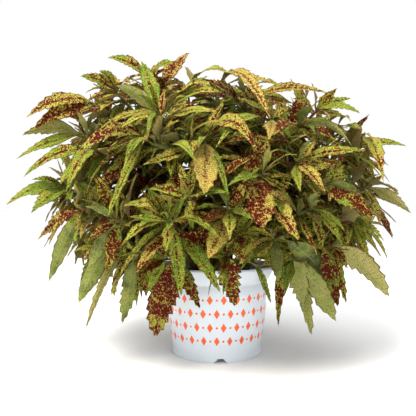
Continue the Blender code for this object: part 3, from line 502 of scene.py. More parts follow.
def shoot_way(leader, tip, skip):
    """A side shoot's way, from one of the places on the leader nearest to its usual length."""
    rest = sorted(leader[2:-1], key=lambda point: abs((tip - point).length - SHOOT_LENGTH))
    start = rest[min(skip, len(rest) - 1)]
    length = (tip - start).length
    toward = (tip - start).normalized()
    rooted = start - toward * ROOT_DEPTH
    first = start + (toward + UP * SHOOT_FIRST_LIFT).normalized() * SHOOT_FIRST_SHARE * length
    last = tip - outward(tip) * SHOOT_LAST_SHARE * length
    return Way(None, (rooted, first, last, tip), SHOOT_POINTS)


# %% Grow the stems
def plain_tube(points, radius):
    """The square tube that the CAD model has there, as points and faces."""
    curve = bpy.data.curves.new("stem_guide", "CURVE")
    curve.dimensions = "3D"
    curve.bevel_depth = radius
    curve.bevel_resolution = 0
    curve.use_fill_caps = True
    spline = curve.splines.new("POLY")
    spline.points.add(len(points) - 1)
    for i, point in enumerate(points):
        spline.points[i].co = (*point, 1.0)
        spline.points[i].radius = 1.0 - (1.0 - TIP_SHARE) * i / (len(points) - 1)
    guide = bpy.data.objects.new("stem_guide", curve)
    bpy.context.scene.collection.objects.link(guide)
    solid = guide.evaluated_get(bpy.context.evaluated_depsgraph_get())
    mesh = bpy.data.meshes.new_from_object(solid)
    bpy.data.objects.remove(guide, do_unlink=True)
    bpy.data.curves.remove(curve)
    shape = bmesh.new()
    shape.from_mesh(mesh)
    bpy.data.meshes.remove(mesh)
    bmesh.ops.remove_doubles(shape, verts=shape.verts, dist=0.01 * MM)
    corners = [v.co.copy() for v in shape.verts]
    faces = [tuple(v.index for v in f.verts) for f in shape.faces]
    shape.free()
    return corners, faces


def add_shoot(shoots, ways, radius, stem, seen):
    """Adds the first of several ways that keeps clear of the other stems."""
    for way in ways:
        points = way_points(way)
        if not meets(*plain_tube(points, radius + CLEARANCE), lambda other: other.stem != stem):
            shoots.append(Shoot(points, way, radius, stem, len(shoots), seen))
            place(*plain_tube(points, radius), stem, len(shoots) - 1)
            return True
    return False


def grow_stems():
    """A leader from the soil to each leading head, then the side shoots."""
    tips = crown_tips()
    leaders = [(tip, seen) for tip, leads, seen in tips if leads]
    bases = spaced_bases([tip for tip, _ in leaders])
    shoots = []
    for stem, (base, (tip, seen)) in enumerate(zip(bases, leaders)):
        ways = [leader_way(base, tip, math.radians(swing)) for swing in SWINGS]
        add_shoot(shoots, ways, STEM_RADIUS, stem, seen)
    for tip, leads, seen in tips:
        if not leads:
            inner = tip.lerp(UP * SOIL_EDGE_HEIGHT, STEM_SEARCH_SHARE)
            order = sorted(range(len(leaders)),
                           key=lambda i: min((inner - p).length for p in shoots[i].points[2:-1]))
            for stem in order[:NEAREST_STEMS]:
                ways = [shoot_way(shoots[stem].points, tip, skip) for skip in range(SHOOT_STARTS)]
                if add_shoot(shoots, ways, SHOOT_RADIUS, stem, seen):
                    break
    return shoots, len(leaders)


shoots, stem_count = grow_stems()
print(stem_count, "stems,", len(shoots), "shoots")


# %% [markdown]
# ### Leaves
# A leaf is a midrib, bent once, with a way that its upper side faces, a width and a fold. The
# plain outline here is the CAD model's. It only tells whether there is room, and what a leaf
# would hide.

# %% The plain leaf and its place
BLADE_THICKNESS = 1.5 * MM
PETIOLE_HALF_WIDTH = 1.3 * MM
PETIOLE_END = 0.07
BLADE_START = 0.2
PlainOutline = namedtuple("PlainOutline", "margin midrib")
LARGE_MIDRIB = (0.07, 0.46, 0.76)
SMALL_MIDRIB = (0.07, 0.55)
PLAIN_OUTLINES = {
    "large_long": PlainOutline(((0.29, 0.64), (0.46, 1.00), (0.52, 0.76), (0.63, 0.80),
                                (0.69, 0.50), (0.84, 0.30)), LARGE_MIDRIB),
    "large_blunt": PlainOutline(((0.34, 0.44), (0.58, 0.96), (0.63, 0.80), (0.75, 1.00),
                                 (0.80, 0.74), (0.91, 0.56)), LARGE_MIDRIB),
    "small_long": PlainOutline(((0.31, 0.68), (0.47, 1.00), (0.54, 0.70), (0.67, 0.70),
                                (0.74, 0.40)), SMALL_MIDRIB),
    "small_blunt": PlainOutline(((0.34, 0.46), (0.62, 1.00), (0.68, 0.76), (0.80, 0.84),
                                 (0.87, 0.52)), SMALL_MIDRIB),
}


def leaf_place(leaf, along):
    """The midrib's point there, and the ways along, across and out of the upper side."""
    there = (leaf.start * (1 - along) ** 2 + leaf.bend * (2 * along * (1 - along))
             + leaf.end * along ** 2)
    way = (leaf.bend - leaf.start) * (1 - along) + (leaf.end - leaf.bend) * along
    way.normalize()
    chord = (leaf.end - leaf.start).normalized()
    out = (leaf.face - chord * leaf.face.dot(chord)).normalized()
    out.rotate(chord.rotation_difference(way))
    return there, way, way.cross(out).normalized(), out


def on_chords(leaf, stations, along):
    """The point of the straight runs between the midrib's stations."""
    places = [0.0, *stations, 1.0]
    for low, high in zip(places, places[1:]):
        if along <= high:
            share = (along - low) / (high - low)
            return leaf_place(leaf, low)[0].lerp(leaf_place(leaf, high)[0], share)
    return leaf.end


def strip(side, middle, flip):
    """Triangles between the margin's points and the midrib's, in step along the leaf."""
    faces = []
    i = j = 0
    while i < len(side) - 1 or j < len(middle) - 1:
        ahead = side[i + 1][0] if i < len(side) - 1 else 2.0
        beside = middle[j + 1][0] if j < len(middle) - 1 else 2.0
        if ahead <= beside:
            face = (side[i][1], side[i + 1][1], middle[j][1])
            i += 1
        else:
            face = (side[i][1], middle[j + 1][1], middle[j][1])
            j += 1
        if len(set(face)) == 3:
            faces.append(face if flip else face[::-1])
    return faces


def plain_leaf(leaf, grown=0.0, from_along=0.0):
    """The plain leaf's points and triangles, grown all round by that much."""
    margin, midrib = PLAIN_OUTLINES[leaf.outline]
    widths = [(PETIOLE_END, PETIOLE_HALF_WIDTH)]
    widths += [(along, share * leaf.half_width) for along, share in margin]
    points = [on_chords(leaf, midrib, from_along), leaf.end]
    chains = {}
    for name, sign in (("left", -1.0), ("right", 1.0)):
        chains[name] = [(from_along, 0)]
        for along, width in widths:
            if along > from_along:
                _, _, across, out = leaf_place(leaf, along)
                chains[name].append((along, len(points)))
                points.append(on_chords(leaf, midrib, along) + across * (sign * (width + grown))
                              + out * (leaf.fold * width))
        chains[name].append((1.0, 1))
    for name, sign in (("over", 1.0), ("under", -1.0)):
        chains[name] = [(from_along, 0)]
        for along in midrib:
            if along > from_along:
                there, _, _, out = leaf_place(leaf, along)
                chains[name].append((along, len(points)))
                points.append(there + out * (sign * (BLADE_THICKNESS / 2 + grown)))
        chains[name].append((1.0, 1))
    faces = []
    for side, flip in (("left", False), ("right", True)):
        faces += strip(chains[side], chains["over"], flip)
        faces += strip(chains[side], chains["under"], not flip)
    return points, faces


def has_room(leaf, stem, clearance=CLEARANCE):
    """Whether a leaf keeps clear of other stems, and its blade of its own stem's leaves too."""
    points, faces = plain_leaf(leaf, clearance, PETIOLE_END / 2)
    if min(point.z for point in points) < LOWEST_LEAF:
        return False
    if meets(points, faces, lambda other: other.stem != stem):
        return False
    points, faces = plain_leaf(leaf, clearance, BLADE_START)
    return not meets(points, faces, lambda other: other.stem == stem and other.shoot != leaf.shoot)


def add_leaf(leaves, leaf, clearance=CLEARANCE):
    stem = shoots[leaf.shoot].stem
    if not has_room(leaf, stem, clearance):
        return False
    leaves.append(leaf)
    place(*plain_leaf(leaf), stem, None)
    return True


# %% [markdown]
# ### Leaves of the CAD model
# First come the leaves that were measured in the photograph, each on the nearest stem. Then
# come opposite pairs down each shoot, each pair a quarter turn from the last.

# %% The nearest stem
STRAY = 9.0 * MM
LOWEST_AXIL = 12.0 * MM
stem_boxes = [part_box(f"leafy_stem_{stem + 1:02d}") for stem in range(stem_count)]


def in_stem_box(point, stem, stray):
    """Whether a point lies in the box of the CAD model's stem, or only a little outside."""
    low, high = stem_boxes[stem]
    return all(low[i] - stray < point[i] < high[i] + stray for i in range(3))


def nearest_on_shoots(target, tip=None):
    """The shoot and the point on its stem nearest to a place, of stems that the tip suits."""
    best = None
    for shoot in shoots:
        if tip is not None and not in_stem_box(tip, shoot.stem, STRAY):
            continue
        for i in range(1, len(shoot.points) - 1):
            a, b = shoot.points[i], shoot.points[i + 1]
            way = b - a
            share = max(0.0, min(1.0, (target - a).dot(way) / way.length_squared))
            point = a + way * share
            if point.z < SOIL_EDGE_HEIGHT + LOWEST_AXIL:
                continue
            far = (target - point).length
            if best is None or far < best[0]:
                best = (far, shoot, point)
    return best[1], best[2]


# %% A leaf from its measured base and tip
BLUNT_DROP = 0.6
FACES = {"front": Vector((0.0, -0.90, 0.44)), "under": Vector((0.0, 0.80, 0.60)),
         "up": Vector((0.0, -0.42, 0.91))}
SEEN_FACE_TURN = 12.0
SEEN_FOLDS = (0.12, 0.30)
AXIL_DEPTH = 6.0 * MM
LARGE_FROM = 17
SIGHT_SHIFTS = (0, 8, -8, 16, -16, 26, -24, 36, -34, 50, 65)
BEND_SHIFT_SHARE = 0.6
SEEN_SEED = 5000


def outline_of(size, start, end):
    """Leaves that hang are blunt, and the others long."""
    hangs = start.z - end.z > BLUNT_DROP * (end - start).length
    return size + ("_blunt" if hangs else "_long")


def seen_leaf(seen, draw, stay=False):
    """A leaf from its measured base and tip, springing from the nearest stem (that it suits)."""
    base = seen_point(*seen.base, 1.0)
    tip = seen_point(*seen.tip, SEEN_LEAF_REACH)
    shoot, start = nearest_on_shoots(base + (base - EYE).normalized() * AXIL_DEPTH,
                                     tip if stay else None)
    line = tip - start
    bend = start + line * 0.5 + UP * (2.0 * seen.arch * line.length)
    turn = math.radians(draw.uniform(-SEEN_FACE_TURN, SEEN_FACE_TURN))
    face = Quaternion(line.normalized(), turn) @ FACES[seen.face]
    rooted = start - (bend - start).normalized() * ROOT_DEPTH
    nearness = (bend.y - EYE.y) / -EYE.y
    size = "large" if seen.width >= LARGE_FROM else "small"
    return Leaf(rooted, bend, tip, face, seen.width * nearness * MM / 2, draw.uniform(*SEEN_FOLDS),
                outline_of(size, start, tip), shoot.number)


def moved(leaf, push):
    """The same leaf with its tip moved a little along the line of sight and its bend with it."""
    sight = (leaf.end - EYE).normalized()
    return leaf._replace(end=leaf.end + sight * push,
                         bend=leaf.bend + sight * push * BEND_SHIFT_SHARE)


# %% A leaf of a pair
FIRST_PAIR = 5.0 * MM
PAIR_SPACING = 17.0 * MM
PAIR_LENGTHS = {1: 92.0 * MM, 2: 112.0 * MM}
PAIR_SPREADS = {1: 62.0, 2: 84.0}
PAIR_WIDTH_SHARE = 0.27
SEEN_SHOOT_PAIRS = (1,)
HIDDEN_SHOOT_PAIRS = (1, 2)
PAIR_SIDES = {1: (0, 1), 2: (0,)}
TRIES = 9
SHOOT_TURN = 47.0
TURN_RANGE = 14.0
TURN_WIDENING = 0.4
SPREAD_RANGE = 12.0
LENGTH_RANGE = (0.82, 1.16)
SHORTER_EACH_TRY = 0.93
INWARD_SHARE = 0.4
INWARD_LENGTH = 0.78
DROOP_RANGE = (0.35, 1.0)
FIRST_DROOP = 0.4
DROOP_PER_PAIR = 0.25
FACE_LIFT = 0.7
ALONG_LEAF = 0.85
ALONG_LEAF_TURN = 0.3
FACE_RANGE = 22.0
WIDTH_RANGE = (0.85, 1.3)
PAIR_FOLDS = (0.12, 0.35)
STEEP = 0.95
PAIR_SEED = 100


def along_shoot(shoot, back):
    """The point on a shoot that far back from its tip, and the way it grows there."""
    for i in range(len(shoot.points) - 1, 0, -1):
        way = shoot.points[i] - shoot.points[i - 1]
        if back <= way.length:
            return shoot.points[i] - way.normalized() * back, way.normalized()
        back -= way.length
    return None, None


def axil(shoot, back):
    """The point and the way that far back, or nothing where it is too low for a leaf."""
    point, way = along_shoot(shoot, back)
    too_low = point is None or point.z < SOIL_EDGE_HEIGHT + LOWEST_AXIL
    return (None, None) if too_low else (point, way)


def spread_way(way, radial, degrees):
    """A way that leaves the stem's by that many degrees."""
    angle = math.radians(degrees)
    return way * math.cos(angle) + radial * math.sin(angle)


def drooping(start, out_way, length, droop):
    """The bend and the tip of a leaf that leaves a point in one direction and droops."""
    bend = start + out_way * length * 0.5
    return bend, bend + (out_way - UP * droop).normalized() * length * 0.5


def radial_way(shoot, way, pair, side, looseness):
    """The way that a leaf leaves its stem: each pair stands a quarter turn from the last."""
    spare = way.cross(UP if abs(way.z) < STEEP else Vector((1.0, 0.0, 0.0))).normalized()
    turn = shoot.number * SHOOT_TURN + pair * 90.0 + side * 180.0 + looseness
    return Quaternion(way, math.radians(turn)) @ spare


def upper_side(way, chord):
    """The way a paired leaf's upper side faces: along its stem and up."""
    face = (way + UP * FACE_LIFT).normalized()
    if abs(face.dot(chord)) > ALONG_LEAF:
        face = (way - UP * face.dot(chord) * ALONG_LEAF_TURN).normalized()
    return face


def paired_leaf(shoot, pair, side, attempt, draw):
    """One leaf of an opposite pair, shorter and more turned at each try."""
    point, way = axil(shoot, FIRST_PAIR + pair * PAIR_SPACING)
    if point is None:
        return None
    looseness = draw.uniform(-TURN_RANGE, TURN_RANGE) * (1 + TURN_WIDENING * attempt)
    radial = radial_way(shoot, way, pair, side, looseness)
    spread = PAIR_SPREADS[pair] + draw.uniform(-SPREAD_RANGE, SPREAD_RANGE)
    out_way = spread_way(way, radial, spread)
    length = PAIR_LENGTHS[pair] * draw.uniform(*LENGTH_RANGE) * SHORTER_EACH_TRY ** attempt
    if -radial.dot(Vector((point.x, point.y, 0.0)).normalized()) > INWARD_SHARE:
        length *= INWARD_LENGTH
    droop = draw.uniform(*DROOP_RANGE) * (FIRST_DROOP + DROOP_PER_PAIR * pair)
    bend, end = drooping(point, out_way, length, droop)
    if crown_share(end) > LEAF_REACH:
        return None
    chord = (end - point).normalized()
    turn = math.radians(draw.uniform(-FACE_RANGE, FACE_RANGE))
    face = Quaternion(chord, turn) @ upper_side(way, chord)
    width = length * PAIR_WIDTH_SHARE * draw.uniform(*WIDTH_RANGE)
    return Leaf(point - out_way * ROOT_DEPTH, bend, end, face, width / 2,
                draw.uniform(*PAIR_FOLDS), outline_of("small", point, end), shoot.number)


# %% What a leaf would hide
SIGHT_CHECKS = [(along, across) for along in (0.35, 0.55, 0.75, 0.95) for across in (-0.6, 0.6)]
MOST_HIDING = 1


def sight_tree(leaves):
    """The seen leaves and the pot, to be found by lines of sight."""
    points, faces = shape_of(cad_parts["pot"].data)
    for leaf in leaves:
        more, shapes = plain_leaf(leaf)
        faces += [tuple(i + len(points) for i in shape) for shape in shapes]
        points += more
    return BVHTree.FromPolygons(points, faces)


def hides(leaf, sight, most=MOST_HIDING):
    """Whether a leaf would stand before what the photograph shows."""
    hiding = 0
    for along, sideways in SIGHT_CHECKS:
        there, _, across, _ = leaf_place(leaf, along)
        point = there + across * (sideways * leaf.half_width)
        if sight.ray_cast(point, (point - EYE).normalized())[0]:
            hiding += 1
    return hiding > most


# %% Grow the large leaves
def grow_large_leaves():
    """The seen leaves, then pairs of leaves where they hide nothing that is seen."""
    leaves = []
    seen_numbers = []
    for i, seen in enumerate(SEEN_LEAVES):
        first = seen_leaf(seen, random.Random(SEEN_SEED + i))
        if any(add_leaf(leaves, moved(first, push * MM)) for push in SIGHT_SHIFTS):
            seen_numbers.append(i)
    sight = sight_tree(leaves)
    for pair in HIDDEN_SHOOT_PAIRS:
        for shoot in shoots:
            if shoot.seen and pair not in SEEN_SHOOT_PAIRS:
                continue
            for side in PAIR_SIDES[pair]:
                draw = random.Random(shoot.number * PAIR_SEED + pair * 10 + side)
                for attempt in range(TRIES):
                    leaf = paired_leaf(shoot, pair, side, attempt, draw)
                    if leaf and not hides(leaf, sight) and add_leaf(leaves, leaf):
                        break
    return leaves, seen_numbers


for name in ("pot", "soil"):
    place(*shape_of(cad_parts[name].data), None, None)
first_leaf = len(placed)
large_leaves, seen_numbers = grow_large_leaves()
print(len(large_leaves), "large leaves,", len(seen_numbers), "of them seen in the photograph")

# %% [markdown]
# ### More leaves that the photograph shows
# These are too small for the CAD model. They are measured and placed in the same way, as a base,
# a tip, a width in millimetres, a facing, and two digits for their tone.

# %% Grow the smaller seen leaves
MORE_LEAVES = (
    ((163, 108), (151, 86), 8, "front", "54"), ((154, 120), (138, 96), 14, "front", "41"),
    ((108, 100), (84, 93), 11, "up", "54"), ((112, 112), (97, 127), 18, "under", "11"),
    ((137, 123), (100, 132), 12, "up", "64"), ((92, 140), (96, 117), 10, "front", "32"),
    ((96, 138), (98, 118), 8, "front", "33"), ((164, 148), (142, 143), 10, "up", "85"),
    ((132, 130), (146, 142), 10, "up", "32"), ((145, 128), (159, 139), 8, "up", "32"),
    ((110, 199), (84, 209), 16, "under", "21"), ((112, 193), (78, 201), 16, "up", "45"),
    ((119, 196), (106, 217), 14, "front", "43"), ((86, 208), (76, 223), 14, "front", "57"),
    ((89, 231), (67, 224), 14, "front", "32"), ((139, 206), (128, 219), 12, "front", "42"),
    ((147, 149), (132, 153), 8, "up", "52"), ((99, 153), (123, 160), 14, "up", "33"),
    ((92, 153), (97, 170), 8, "front", "43"), ((133, 165), (120, 176), 12, "front", "42"),
    ((163, 98), (187, 86), 12, "up", "32"), ((262, 150), (250, 131), 12, "front", "47"),
    ((245, 163), (228, 186), 14, "front", "31"), ((254, 165), (243, 184), 12, "front", "31"),
    ((212, 168), (228, 198), 12, "front", "33"), ((215, 153), (198, 150), 12, "up", "42"),
    ((258, 155), (270, 147), 8, "up", "42"), ((280, 152), (268, 157), 8, "up", "42"),
    ((150, 187), (172, 199), 20, "front", "33"), ((182, 190), (197, 198), 12, "front", "74"),
    ((270, 154), (297, 155), 10, "up", "53"), ((328, 130), (331, 119), 8, "front", "32"),
    ((335, 115), (350, 122), 6, "up", "53"), ((361, 138), (371, 140), 8, "up", "52"),
    ((356, 190), (380, 178), 12, "under", "32"), ((365, 193), (378, 203), 6, "up", "32"),
    ((298, 152), (315, 140), 14, "up", "32"), ((325, 150), (315, 139), 10, "under", "21"),
    ((303, 205), (319, 193), 14, "front", "31"), ((306, 205), (324, 205), 8, "up", "41"),
    ((299, 205), (285, 219), 12, "front", "32"), ((284, 217), (277, 197), 14, "front", "32"),
    ((357, 226), (365, 234), 8, "under", "22"), ((365, 219), (374, 227), 6, "up", "53"),
    ((289, 234), (298, 247), 12, "under", "21"), ((307, 241), (317, 257), 12, "front", "56"),
    ((323, 257), (335, 267), 6, "front", "32"), ((292, 274), (285, 297), 14, "front", "32"),
    ((163, 212), (140, 192), 12, "front", "46"), ((173, 217), (190, 196), 12, "front", "31"),
    ((172, 219), (160, 216), 6, "up", "41"), ((177, 221), (168, 233), 12, "front", "41"),
    ((149, 241), (119, 260), 12, "up", "32"), ((145, 295), (135, 310), 10, "front", "32"),
    ((121, 206), (126, 224), 14, "under", "26"), ((232, 212), (253, 221), 12, "front", "31"),
    ((230, 210), (224, 188), 10, "front", "32"), ((215, 179), (229, 194), 10, "front", "32"),
    ((218, 214), (202, 224), 16, "front", "28"), ((243, 229), (250, 237), 12, "front", "27"),
    ((263, 251), (240, 269), 10, "front", "33"), ((212, 259), (221, 278), 14, "front", "27"),
    ((210, 267), (223, 298), 6, "front", "33"), ((218, 289), (208, 300), 6, "under", "43"),
)
ARCHES = {"up": 0.10, "under": 0.08, "front": 0.04}
MORE_SEED = 7000
SMALL_CLEARANCE = 0.5 * MM


def grow_more_leaves():
    """The smaller seen leaves, and the tone of each."""
    leaves, codes = [], []
    for i, (base, tip, width, face, code) in enumerate(MORE_LEAVES):
        seen = SeenLeaf(base, tip, width, ARCHES[face], face)
        first = seen_leaf(seen, random.Random(MORE_SEED + i), stay=True)
        if any(add_leaf(leaves, moved(first, push * MM), SMALL_CLEARANCE) for push in SIGHT_SHIFTS):
            codes.append(code)
    return leaves, codes


more_leaves, more_codes = grow_more_leaves()
print(len(more_leaves), "more leaves of the photograph, out of", len(MORE_LEAVES))

# %% [markdown]
# ### Leaves that show their upper side
# The photograph shows the upper sides of leaves above the eye. Those in the front half are
# rolled about their midrib towards the eye, by 45 degrees at most. One that would then touch
# another leaf is rolled less, or stays as it is in the CAD model.

# %% Roll leaves towards the eye
FACED_SHARE = 0.45
FRONT_HALF = 40.0 * MM
LEAST_SHOWN = 0.2
MOST_ROLL = math.radians(45.0)
ROLL_SHARES = (1.0, 0.6, 0.3)


def square_to(chord, face):
    return (face - chord * face.dot(chord)).normalized()


def faced(leaf, sight, share):
    """The leaf rolled about its midrib towards the line of sight."""
    chord = (leaf.end - leaf.start).normalized()
    old = square_to(chord, leaf.face)
    new = square_to(chord, leaf.face.normalized() * (1.0 - FACED_SHARE) + sight * FACED_SHARE)
    roll = share * min(old.angle(new), MOST_ROLL)
    return leaf._replace(face=Quaternion(old.cross(new).normalized(), roll) @ old)


def rolled(leaf, seen_face=None, share=1.0):
    """A leaf above the eye that should show its upper side in front is rolled. Others stay."""
    if leaf.end.z < EYE.z:
        return leaf
    sight = (EYE - leaf.bend).normalized()
    if seen_face is not None:
        return faced(leaf, sight, share) if seen_face == "up" else leaf
    hidden = leaf.bend.y > FRONT_HALF or leaf.face.normalized().dot(sight) > LEAST_SHOWN
    return leaf if hidden else faced(leaf, sight, share)


def rolled_in_place(number, leaf, seen_face):
    """A placed leaf, rolled as far as there is room. What is placed is kept up to date."""
    own = placed[number]
    for share in ROLL_SHARES:
        new = rolled(leaf, seen_face, share)
        if new is leaf:
            return leaf
        points, faces = plain_leaf(new, SMALL_CLEARANCE, BLADE_START)
        if not meets(points, faces, lambda other: other is not own and other.shoot != leaf.shoot):
            place(*plain_leaf(new), own.stem, None, number)
            return new
    return leaf


rolls = []
for number, leaf in enumerate(large_leaves):
    seen_face = SEEN_LEAVES[seen_numbers[number]].face if number < len(seen_numbers) else None
    large_leaves[number] = rolled_in_place(first_leaf + number, leaf, seen_face)
    if large_leaves[number] is not leaf:
        chord = (leaf.end - leaf.start).normalized()
        rolls.append(square_to(chord, leaf.face).angle(large_leaves[number].face))
print(len(rolls), "large leaves rolled, by", round(math.degrees(np.median(rolls))),
      "degrees at the median and", round(math.degrees(max(rolls))), "at most")

# %% [markdown]
# ### Young and inner leaves
# The bush is dense because of leaves that are too many for the CAD model. There is a rosette of
# young leaves at each tip, then leaves that reach from the nearest stem into the crown's gaps,
# pairs down the stem, and sprigs in the angle between a leaf and its stem. Each goes only where
# its plain outline is clear of the others and hides no measured leaf. The waves and twists that
# a blade gets later still carry some of them across a neighbour.

# %% Add a small leaf
SMALL_FACE_RANGE = 28
SMALL_FOLDS = (0.15, 0.45)
BOX_ROOM = 9.0 * MM

small_leaves = []
sight = sight_tree(large_leaves[:len(seen_numbers)] + more_leaves)


def near_its_stem(leaf):
    """Whether a leaf stays by its stem in the CAD model, and well inside the whole box."""
    inside = all(cad_box[0][i] + BOX_ROOM < point[i] < cad_box[1][i] - BOX_ROOM
                 for point in (leaf.bend, leaf.end) for i in range(3))
    return inside and in_stem_box(leaf.end, shoots[leaf.shoot].stem, STRAY)


def add_small_leaf(leaf, most_hiding=MOST_HIDING):
    """Adds a leaf that the CAD model doesn't have, where there is room."""
    if crown_share(leaf.end) > LEAF_REACH or not near_its_stem(leaf):
        return False
    turned = rolled(leaf)
    return any(not hides(way, sight, most_hiding) and add_leaf(small_leaves, way, SMALL_CLEARANCE)
               for way in ((leaf,) if turned is leaf else (turned, leaf)))


def leaf_from(shoot, start, out_way, way, length, droop, width_share, draw):
    """A small leaf that leaves a point in one direction and droops."""
    bend, end = drooping(start, out_way, length, droop)
    chord = (end - start).normalized()
    turn = math.radians(draw.uniform(-SMALL_FACE_RANGE, SMALL_FACE_RANGE))
    face = Quaternion(chord, turn) @ upper_side(way, chord)
    return Leaf(start, bend, end, face, length * width_share / 2, draw.uniform(*SMALL_FOLDS),
                outline_of("small", start, end), shoot.number)


# %% Rosettes
ROSETTE = ((36.0, 52.0), (26.0, 38.0), (17.0, 26.0), (10.0, 14.0))
ROSETTE_WIDTH = 0.34
ROSETTE_FIRST = 1.5 * MM
ROSETTE_STEP = 0.8
ROSETTE_HIDING = 4
ROSETTE_TURNS = (-10, 10)
ROSETTE_SPREAD_RANGE = (-6, 10)
ROSETTE_LENGTH_RANGE = (0.8, 1.25)
ROSETTE_DROOPS = (0.0, 0.35)


def grow_rosettes(draw):
    """Young leaves, crossed pair over pair, at each shoot's tip."""
    for shoot in shoots:
        for pair, (length, spread) in enumerate(ROSETTE):
            back = ROSETTE_FIRST + (len(ROSETTE) - pair) * ROSETTE_STEP * MM
            point, way = along_shoot(shoot, back)
            for side in (0, 1):
                radial = radial_way(shoot, way, pair + 1, side, draw.uniform(*ROSETTE_TURNS))
                out_way = spread_way(way, radial, spread + draw.uniform(*ROSETTE_SPREAD_RANGE))
                long = length * MM * draw.uniform(*ROSETTE_LENGTH_RANGE)
                leaf = leaf_from(shoot, point, out_way, way, long,
                                 draw.uniform(*ROSETTE_DROOPS), ROSETTE_WIDTH, draw)
                add_small_leaf(leaf, ROSETTE_HIDING)


# %% Leaves that reach into gaps
REACHING_TRIES = 5200
REACHING_LENGTHS = (34.0 * MM, 84.0 * MM)
REACHING_WIDTHS = (0.22, 0.34)
REACHING_HEIGHTS = (-0.75, 1.0)
REACHING_DEPTHS = (0.55, 1.12)
REACHING_LIFTS = (0.0, 0.35)
REACHING_DROOPS = (0.2, 0.8)


def grow_reaching(draw):
    """Leaves that reach from the nearest stem to places all through the outer crown."""
    for _ in range(REACHING_TRIES):
        height = draw.uniform(*REACHING_HEIGHTS)
        target = crown_point(draw.uniform(0.0, 360.0), height)
        middle = UP * CROWN_MIDDLE
        target = middle + (target - middle) * draw.uniform(*REACHING_DEPTHS)
        shoot, start = nearest_on_shoots(target)
        reach = target - start
        if not REACHING_LENGTHS[0] < reach.length < REACHING_LENGTHS[1]:
            continue
        out_way = (reach.normalized() + UP * draw.uniform(*REACHING_LIFTS)).normalized()
        leaf = leaf_from(shoot, start, out_way, outward(start), reach.length,
                         draw.uniform(*REACHING_DROOPS), draw.uniform(*REACHING_WIDTHS), draw)
        add_small_leaf(leaf)


# %% Pairs all the way down
INNER_PAIRS = 7
INNER_LENGTH = 64.0 * MM
INNER_WIDTH = 0.3
INNER_TRIES = 4
INNER_SPREADS = (45, 95)
INNER_SHORTER = 0.86
INNER_STRAY = (-2, 2)
INNER_TURNS = (-30, 30)
INNER_LENGTH_RANGE = (0.7, 1.0)
INNER_DROOPS = (0.2, 0.9)


def grow_inner_pairs(draw):
    """Smaller leaves in pairs all the way down each shoot."""
    for shoot in shoots:
        for pair in range(INNER_PAIRS):
            back = FIRST_PAIR + pair * PAIR_SPACING + draw.uniform(*INNER_STRAY) * MM
            point, way = axil(shoot, back)
            if point is None:
                continue
            for side in (0, 1):
                for attempt in range(INNER_TRIES):
                    looseness = draw.uniform(*INNER_TURNS) * (1 + attempt)
                    radial = radial_way(shoot, way, pair, side, looseness)
                    out_way = spread_way(way, radial, draw.uniform(*INNER_SPREADS))
                    length = INNER_LENGTH * draw.uniform(*INNER_LENGTH_RANGE)
                    leaf = leaf_from(shoot, point, out_way, way, length * INNER_SHORTER ** attempt,
                                     draw.uniform(*INNER_DROOPS), INNER_WIDTH, draw)
                    if add_small_leaf(leaf):
                        break


# %% Sprigs
Sprig = namedtuple("Sprig", "points radius stem")
SPRIG_PAIRS = 7
SPRIG_STALKS = (12.0, 40.0)
SPRIG_LENGTHS = (44.0, 44.0, 30.0, 30.0, 16.0, 16.0)
SPRIG_SPREADS = (62.0, 62.0, 48.0, 48.0, 24.0, 24.0)
SPRIG_ROOTS = (0.55, 0.55, 1.0, 1.0, 1.0, 1.0)
SPRIG_WIDTH = 0.32
SPRIG_RADIUS = 1.0 * MM
SPRIG_ABOVE = 3 * MM
SPRIG_TURNS = (-20, 20)
SPRIG_SPREAD_RANGE = (-10, 10)
SPRIG_LENGTH_RANGE = (0.7, 1.2)
SPRIG_DROOPS = (0.0, 0.5)
sprigs = []


def grow_sprigs(draw):
    """Short side twigs with six small leaves each, in the angles above the leaves."""
    for shoot in shoots:
        for pair in range(1, SPRIG_PAIRS):
            point, way = axil(shoot, FIRST_PAIR + pair * PAIR_SPACING + SPRIG_ABOVE)
            if point is None:
                continue
            for side in (0, 1):
                radial = radial_way(shoot, way, pair, side, draw.uniform(*SPRIG_TURNS))
                stalk = (way * 0.8 + radial * 0.7 + UP * 0.2).normalized()
                tip = point + stalk * draw.uniform(*SPRIG_STALKS) * MM
                before = len(small_leaves)
                for number in range(len(SPRIG_LENGTHS)):
                    turn = math.radians(90 * (number // 2) + 180 * (number % 2))
                    around = Quaternion(stalk, turn) @ stalk.cross(radial).normalized()
                    spread = SPRIG_SPREADS[number] + draw.uniform(*SPRIG_SPREAD_RANGE)
                    out_way = spread_way(stalk, around, spread)
                    length = SPRIG_LENGTHS[number] * MM * draw.uniform(*SPRIG_LENGTH_RANGE)
                    root = point.lerp(tip, SPRIG_ROOTS[number])
                    add_small_leaf(leaf_from(shoot, root, out_way, stalk, length,
                                             draw.uniform(*SPRIG_DROOPS), SPRIG_WIDTH, draw))
                if len(small_leaves) > before:
                    points = [point, point.lerp(tip, 0.5), tip]
                    sprigs.append(Sprig(points, SPRIG_RADIUS, shoot.stem))


# %% Grow the small leaves
SMALL_SEED = 77
small_draw = random.Random(SMALL_SEED)
for grow in (grow_rosettes, grow_reaching, grow_inner_pairs, grow_sprigs):
    before = len(small_leaves)
    grow(small_draw)
    print(grow.__name__, len(small_leaves) - before, "leaves")

# %% [markdown]
# ## The blade, modelled once
# A coleus blade is a thin sheet, so a flat grid that Solidify gives two faces is enough: the
# upper face takes the lime and burgundy look, and the lower one the pale look with its veins.
# The grid's rows are later spread along each leaf's own midrib, and its outer columns follow
# the teeth. Copying a sheet of a few hundred faces is what keeps a bush of this size light.

# %% Model the blades
UPPER, UNDER, STALK = 0, 1, 2
Template = namedtuple("Template", "across row layer corners sizes looks")


